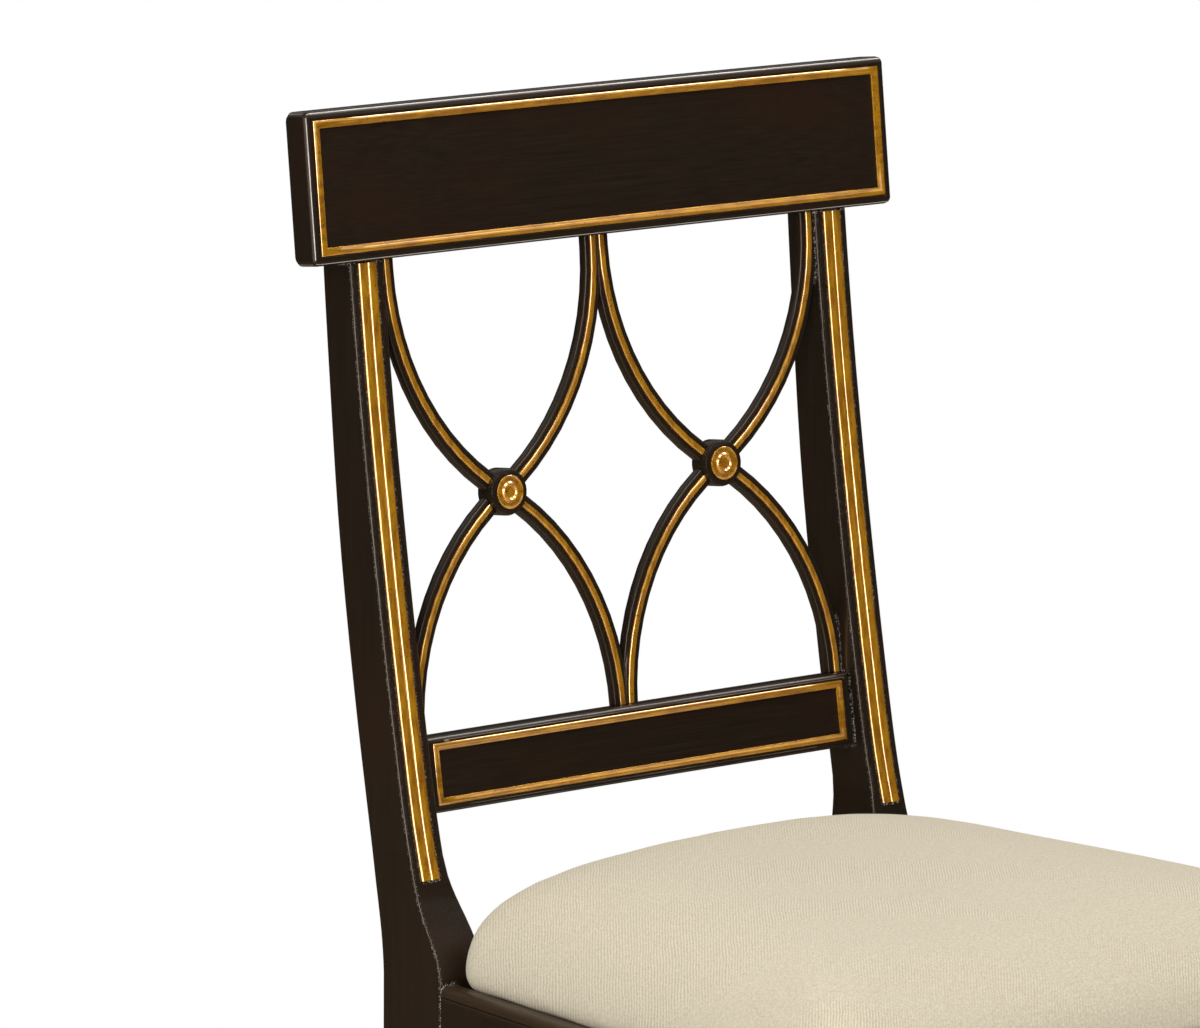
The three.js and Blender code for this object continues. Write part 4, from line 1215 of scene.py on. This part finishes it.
@dataclass
class Fixings:
    """The screws that hold the seat board and the crest."""

    steel: TurnedSteel = TurnedSteel()

    def build(self, joinery: Joinery) -> None:
        """Finishes every screw.

        Args:
            joinery: what makes finished pieces.
        """
        for side in SIDES:
            for place in ("rear", "front"):
                joinery.finish(f"seat_screw_{place}_{side}", "turned", self.steel, Grain.UPRIGHT)
            for place in ("upper", "lower"):
                joinery.finish(f"crest_screw_{place}_{side}", "turned", self.steel, Grain.DEPTH)


@dataclass
class DropInSeat:
    """The plywood board and the crowned cushion with its cloth cover."""

    voxel: float = 5 * MM
    # The remeshed solid's steps are eased in rounds, each a pull in and a push back out.
    easing_rounds: int = 8
    pull_in: float = 0.5
    push_out: float = -0.52
    pressure: float = 4.0
    cloth_mass: float = 0.3
    cloth_quality: int = 5
    frames: int = 20
    # The foam under the cloth evens out its swell, and the stretched cloth keeps to this height.
    cap: float = 1.6 * MM
    evening_rounds: int = 24
    pinned_height: float = 6 * MM
    cloth: CottonTwill = CottonTwill()
    plywood: BirchPlywood = BirchPlywood()

    def build(self, joinery: Joinery) -> None:
        """Finishes the board and makes the cushion.

        Args:
            joinery: what makes finished pieces.
        """
        joinery.finish("seat_board", "sanded", self.plywood, Grain.ACROSS)
        self.cushion(joinery.nodes["seat_cushion"])

    def cushion(self, solid: bpy.types.Object) -> bpy.types.Object:
        """Makes the cushion's cover, blown up a little by the foam inside.

        Args:
            solid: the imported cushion.

        Returns:
            The finished cushion.
        """
        cover = placed("seat_cushion_covered", self.remeshed(solid))
        rest = [point.co.copy() for point in cover.data.vertices]
        self.inflate(cover, rest)
        cover.data.materials.clear()
        cover.data.materials.append(self.cloth.material())
        cover.data.shade_smooth()
        fine = cover.modifiers.new("fine", "SUBSURF")
        fine.levels = fine.render_levels = 1
        self.apply(cover)
        cover.data.shade_smooth()
        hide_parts("seat_cushion")
        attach(cover, BODY)
        LOG.info("%s: %s", cover.name, self.cloth.title)
        return cover

    def remeshed(self, solid: bpy.types.Object) -> bpy.types.Mesh:
        """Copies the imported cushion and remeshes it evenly.

        Args:
            solid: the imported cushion.

        Returns:
            A mesh of even square faces.
        """
        rough = placed("rough_cushion", solid.data.copy())
        shape = bmesh.new()
        shape.from_mesh(rough.data)
        bmesh.ops.remove_doubles(shape, verts=shape.verts, dist=WELD)
        shape.to_mesh(rough.data)
        shape.free()
        remesh = rough.modifiers.new("even", "REMESH")
        remesh.mode = "VOXEL"
        remesh.voxel_size = self.voxel
        self.apply(rough)
        mesh = rough.data
        bpy.data.objects.remove(rough)
        points = np.array([vertex.co for vertex in mesh.vertices])
        ends = self.threads(mesh)
        for _ in range(self.easing_rounds):
            points = self.relaxed(self.relaxed(points, ends, self.pull_in), ends, self.push_out)
        mesh.vertices.foreach_set("co", points.ravel())
        mesh.update()
        return mesh

    @staticmethod
    def threads(mesh: bpy.types.Mesh) -> np.ndarray:
        """Lists every edge in both directions, as pairs of point numbers."""
        edges = np.array([edge.vertices[:] for edge in mesh.edges])
        return np.concatenate([edges, edges[:, ::-1]])

    @staticmethod
    def relaxed(values: np.ndarray, ends: np.ndarray, amount: float) -> np.ndarray:
        """Moves each point's values towards the mean of its neighbours' values.

        Args:
            values: one row for each point.
            ends: the edges in both directions.
            amount: how much of the way is gone; below 0, it is gone backwards.

        Returns:
            The moved values.
        """
        total = np.zeros_like(values)
        np.add.at(total, ends[:, 0], values[ends[:, 1]])
        shared = np.bincount(ends[:, 0], minlength=len(values))[:, None]
        return values + amount * (total / shared - values)

    @staticmethod
    def apply(piece: bpy.types.Object) -> None:
        """Puts what the modifiers make into the piece's own mesh.

        Args:
            piece: the object whose modifiers are applied.
        """
        graph = bpy.context.evaluated_depsgraph_get()
        graph.update()
        mesh = bpy.data.meshes.new_from_object(piece.evaluated_get(graph))
        piece.modifiers.clear()
        piece.data = mesh

    def inflate(self, cover: bpy.types.Object, rest: list[Vector]) -> None:
        """Lets the cloth swell against its tucked lower edge, and keeps it near the foam.

        Args:
            cover: the remeshed cushion.
            rest: where its points are before it swells.
        """
        bottom = min(point.z for point in rest)
        tucked = cover.vertex_groups.new(name="tucked")
        low = [i for i, point in enumerate(rest) if point.z < bottom + self.pinned_height]
        tucked.add(low, 1.0, "REPLACE")
        cloth = cover.modifiers.new("cloth", "CLOTH")
        settings = cloth.settings
        settings.quality = self.cloth_quality
        settings.mass = self.cloth_mass
        settings.use_pressure = True
        settings.uniform_pressure_force = self.pressure
        settings.vertex_group_mass = tucked.name
        settings.effector_weights.gravity = 0.0
        cloth.collision_settings.use_collision = False
        scene = bpy.context.scene
        for frame in range(1, self.frames + 1):
            scene.frame_set(frame)
        self.apply(cover)
        scene.frame_set(1)
        self.even_out(cover, rest)

    def even_out(self, cover: bpy.types.Object, rest: list[Vector]) -> None:
        """Spreads the swell evenly, as stretched cloth over foam does, and caps it.

        Args:
            cover: the cushion after it has swollen.
            rest: where its points were before that.
        """
        start = np.array(rest)
        moves = np.array([vertex.co for vertex in cover.data.vertices]) - start
        ends = self.threads(cover.data)
        for _ in range(self.evening_rounds):
            moves = self.relaxed(moves, ends, self.pull_in)
        length = np.linalg.norm(moves, axis=1, keepdims=True)
        moves *= np.minimum(1.0, self.cap / np.maximum(length, MM / 1000))
        cover.data.vertices.foreach_set("co", (start + moves).ravel())
        cover.data.update()


def main() -> None:
    """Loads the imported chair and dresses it, piece by piece."""
    logging.basicConfig(level=logging.INFO, format="%(name)s: %(message)s")
    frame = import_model()
    Viewpoint().build()
    Studio().build()
    joinery = Joinery(frame["nodes"])
    for assembly in (CrestRail(), CrossRail(), RearPosts(), LyrePair(), SeatFrame(), Fixings(),
                     DropInSeat()):
        assembly.build(joinery)


if __name__ == "__main__":
    main()
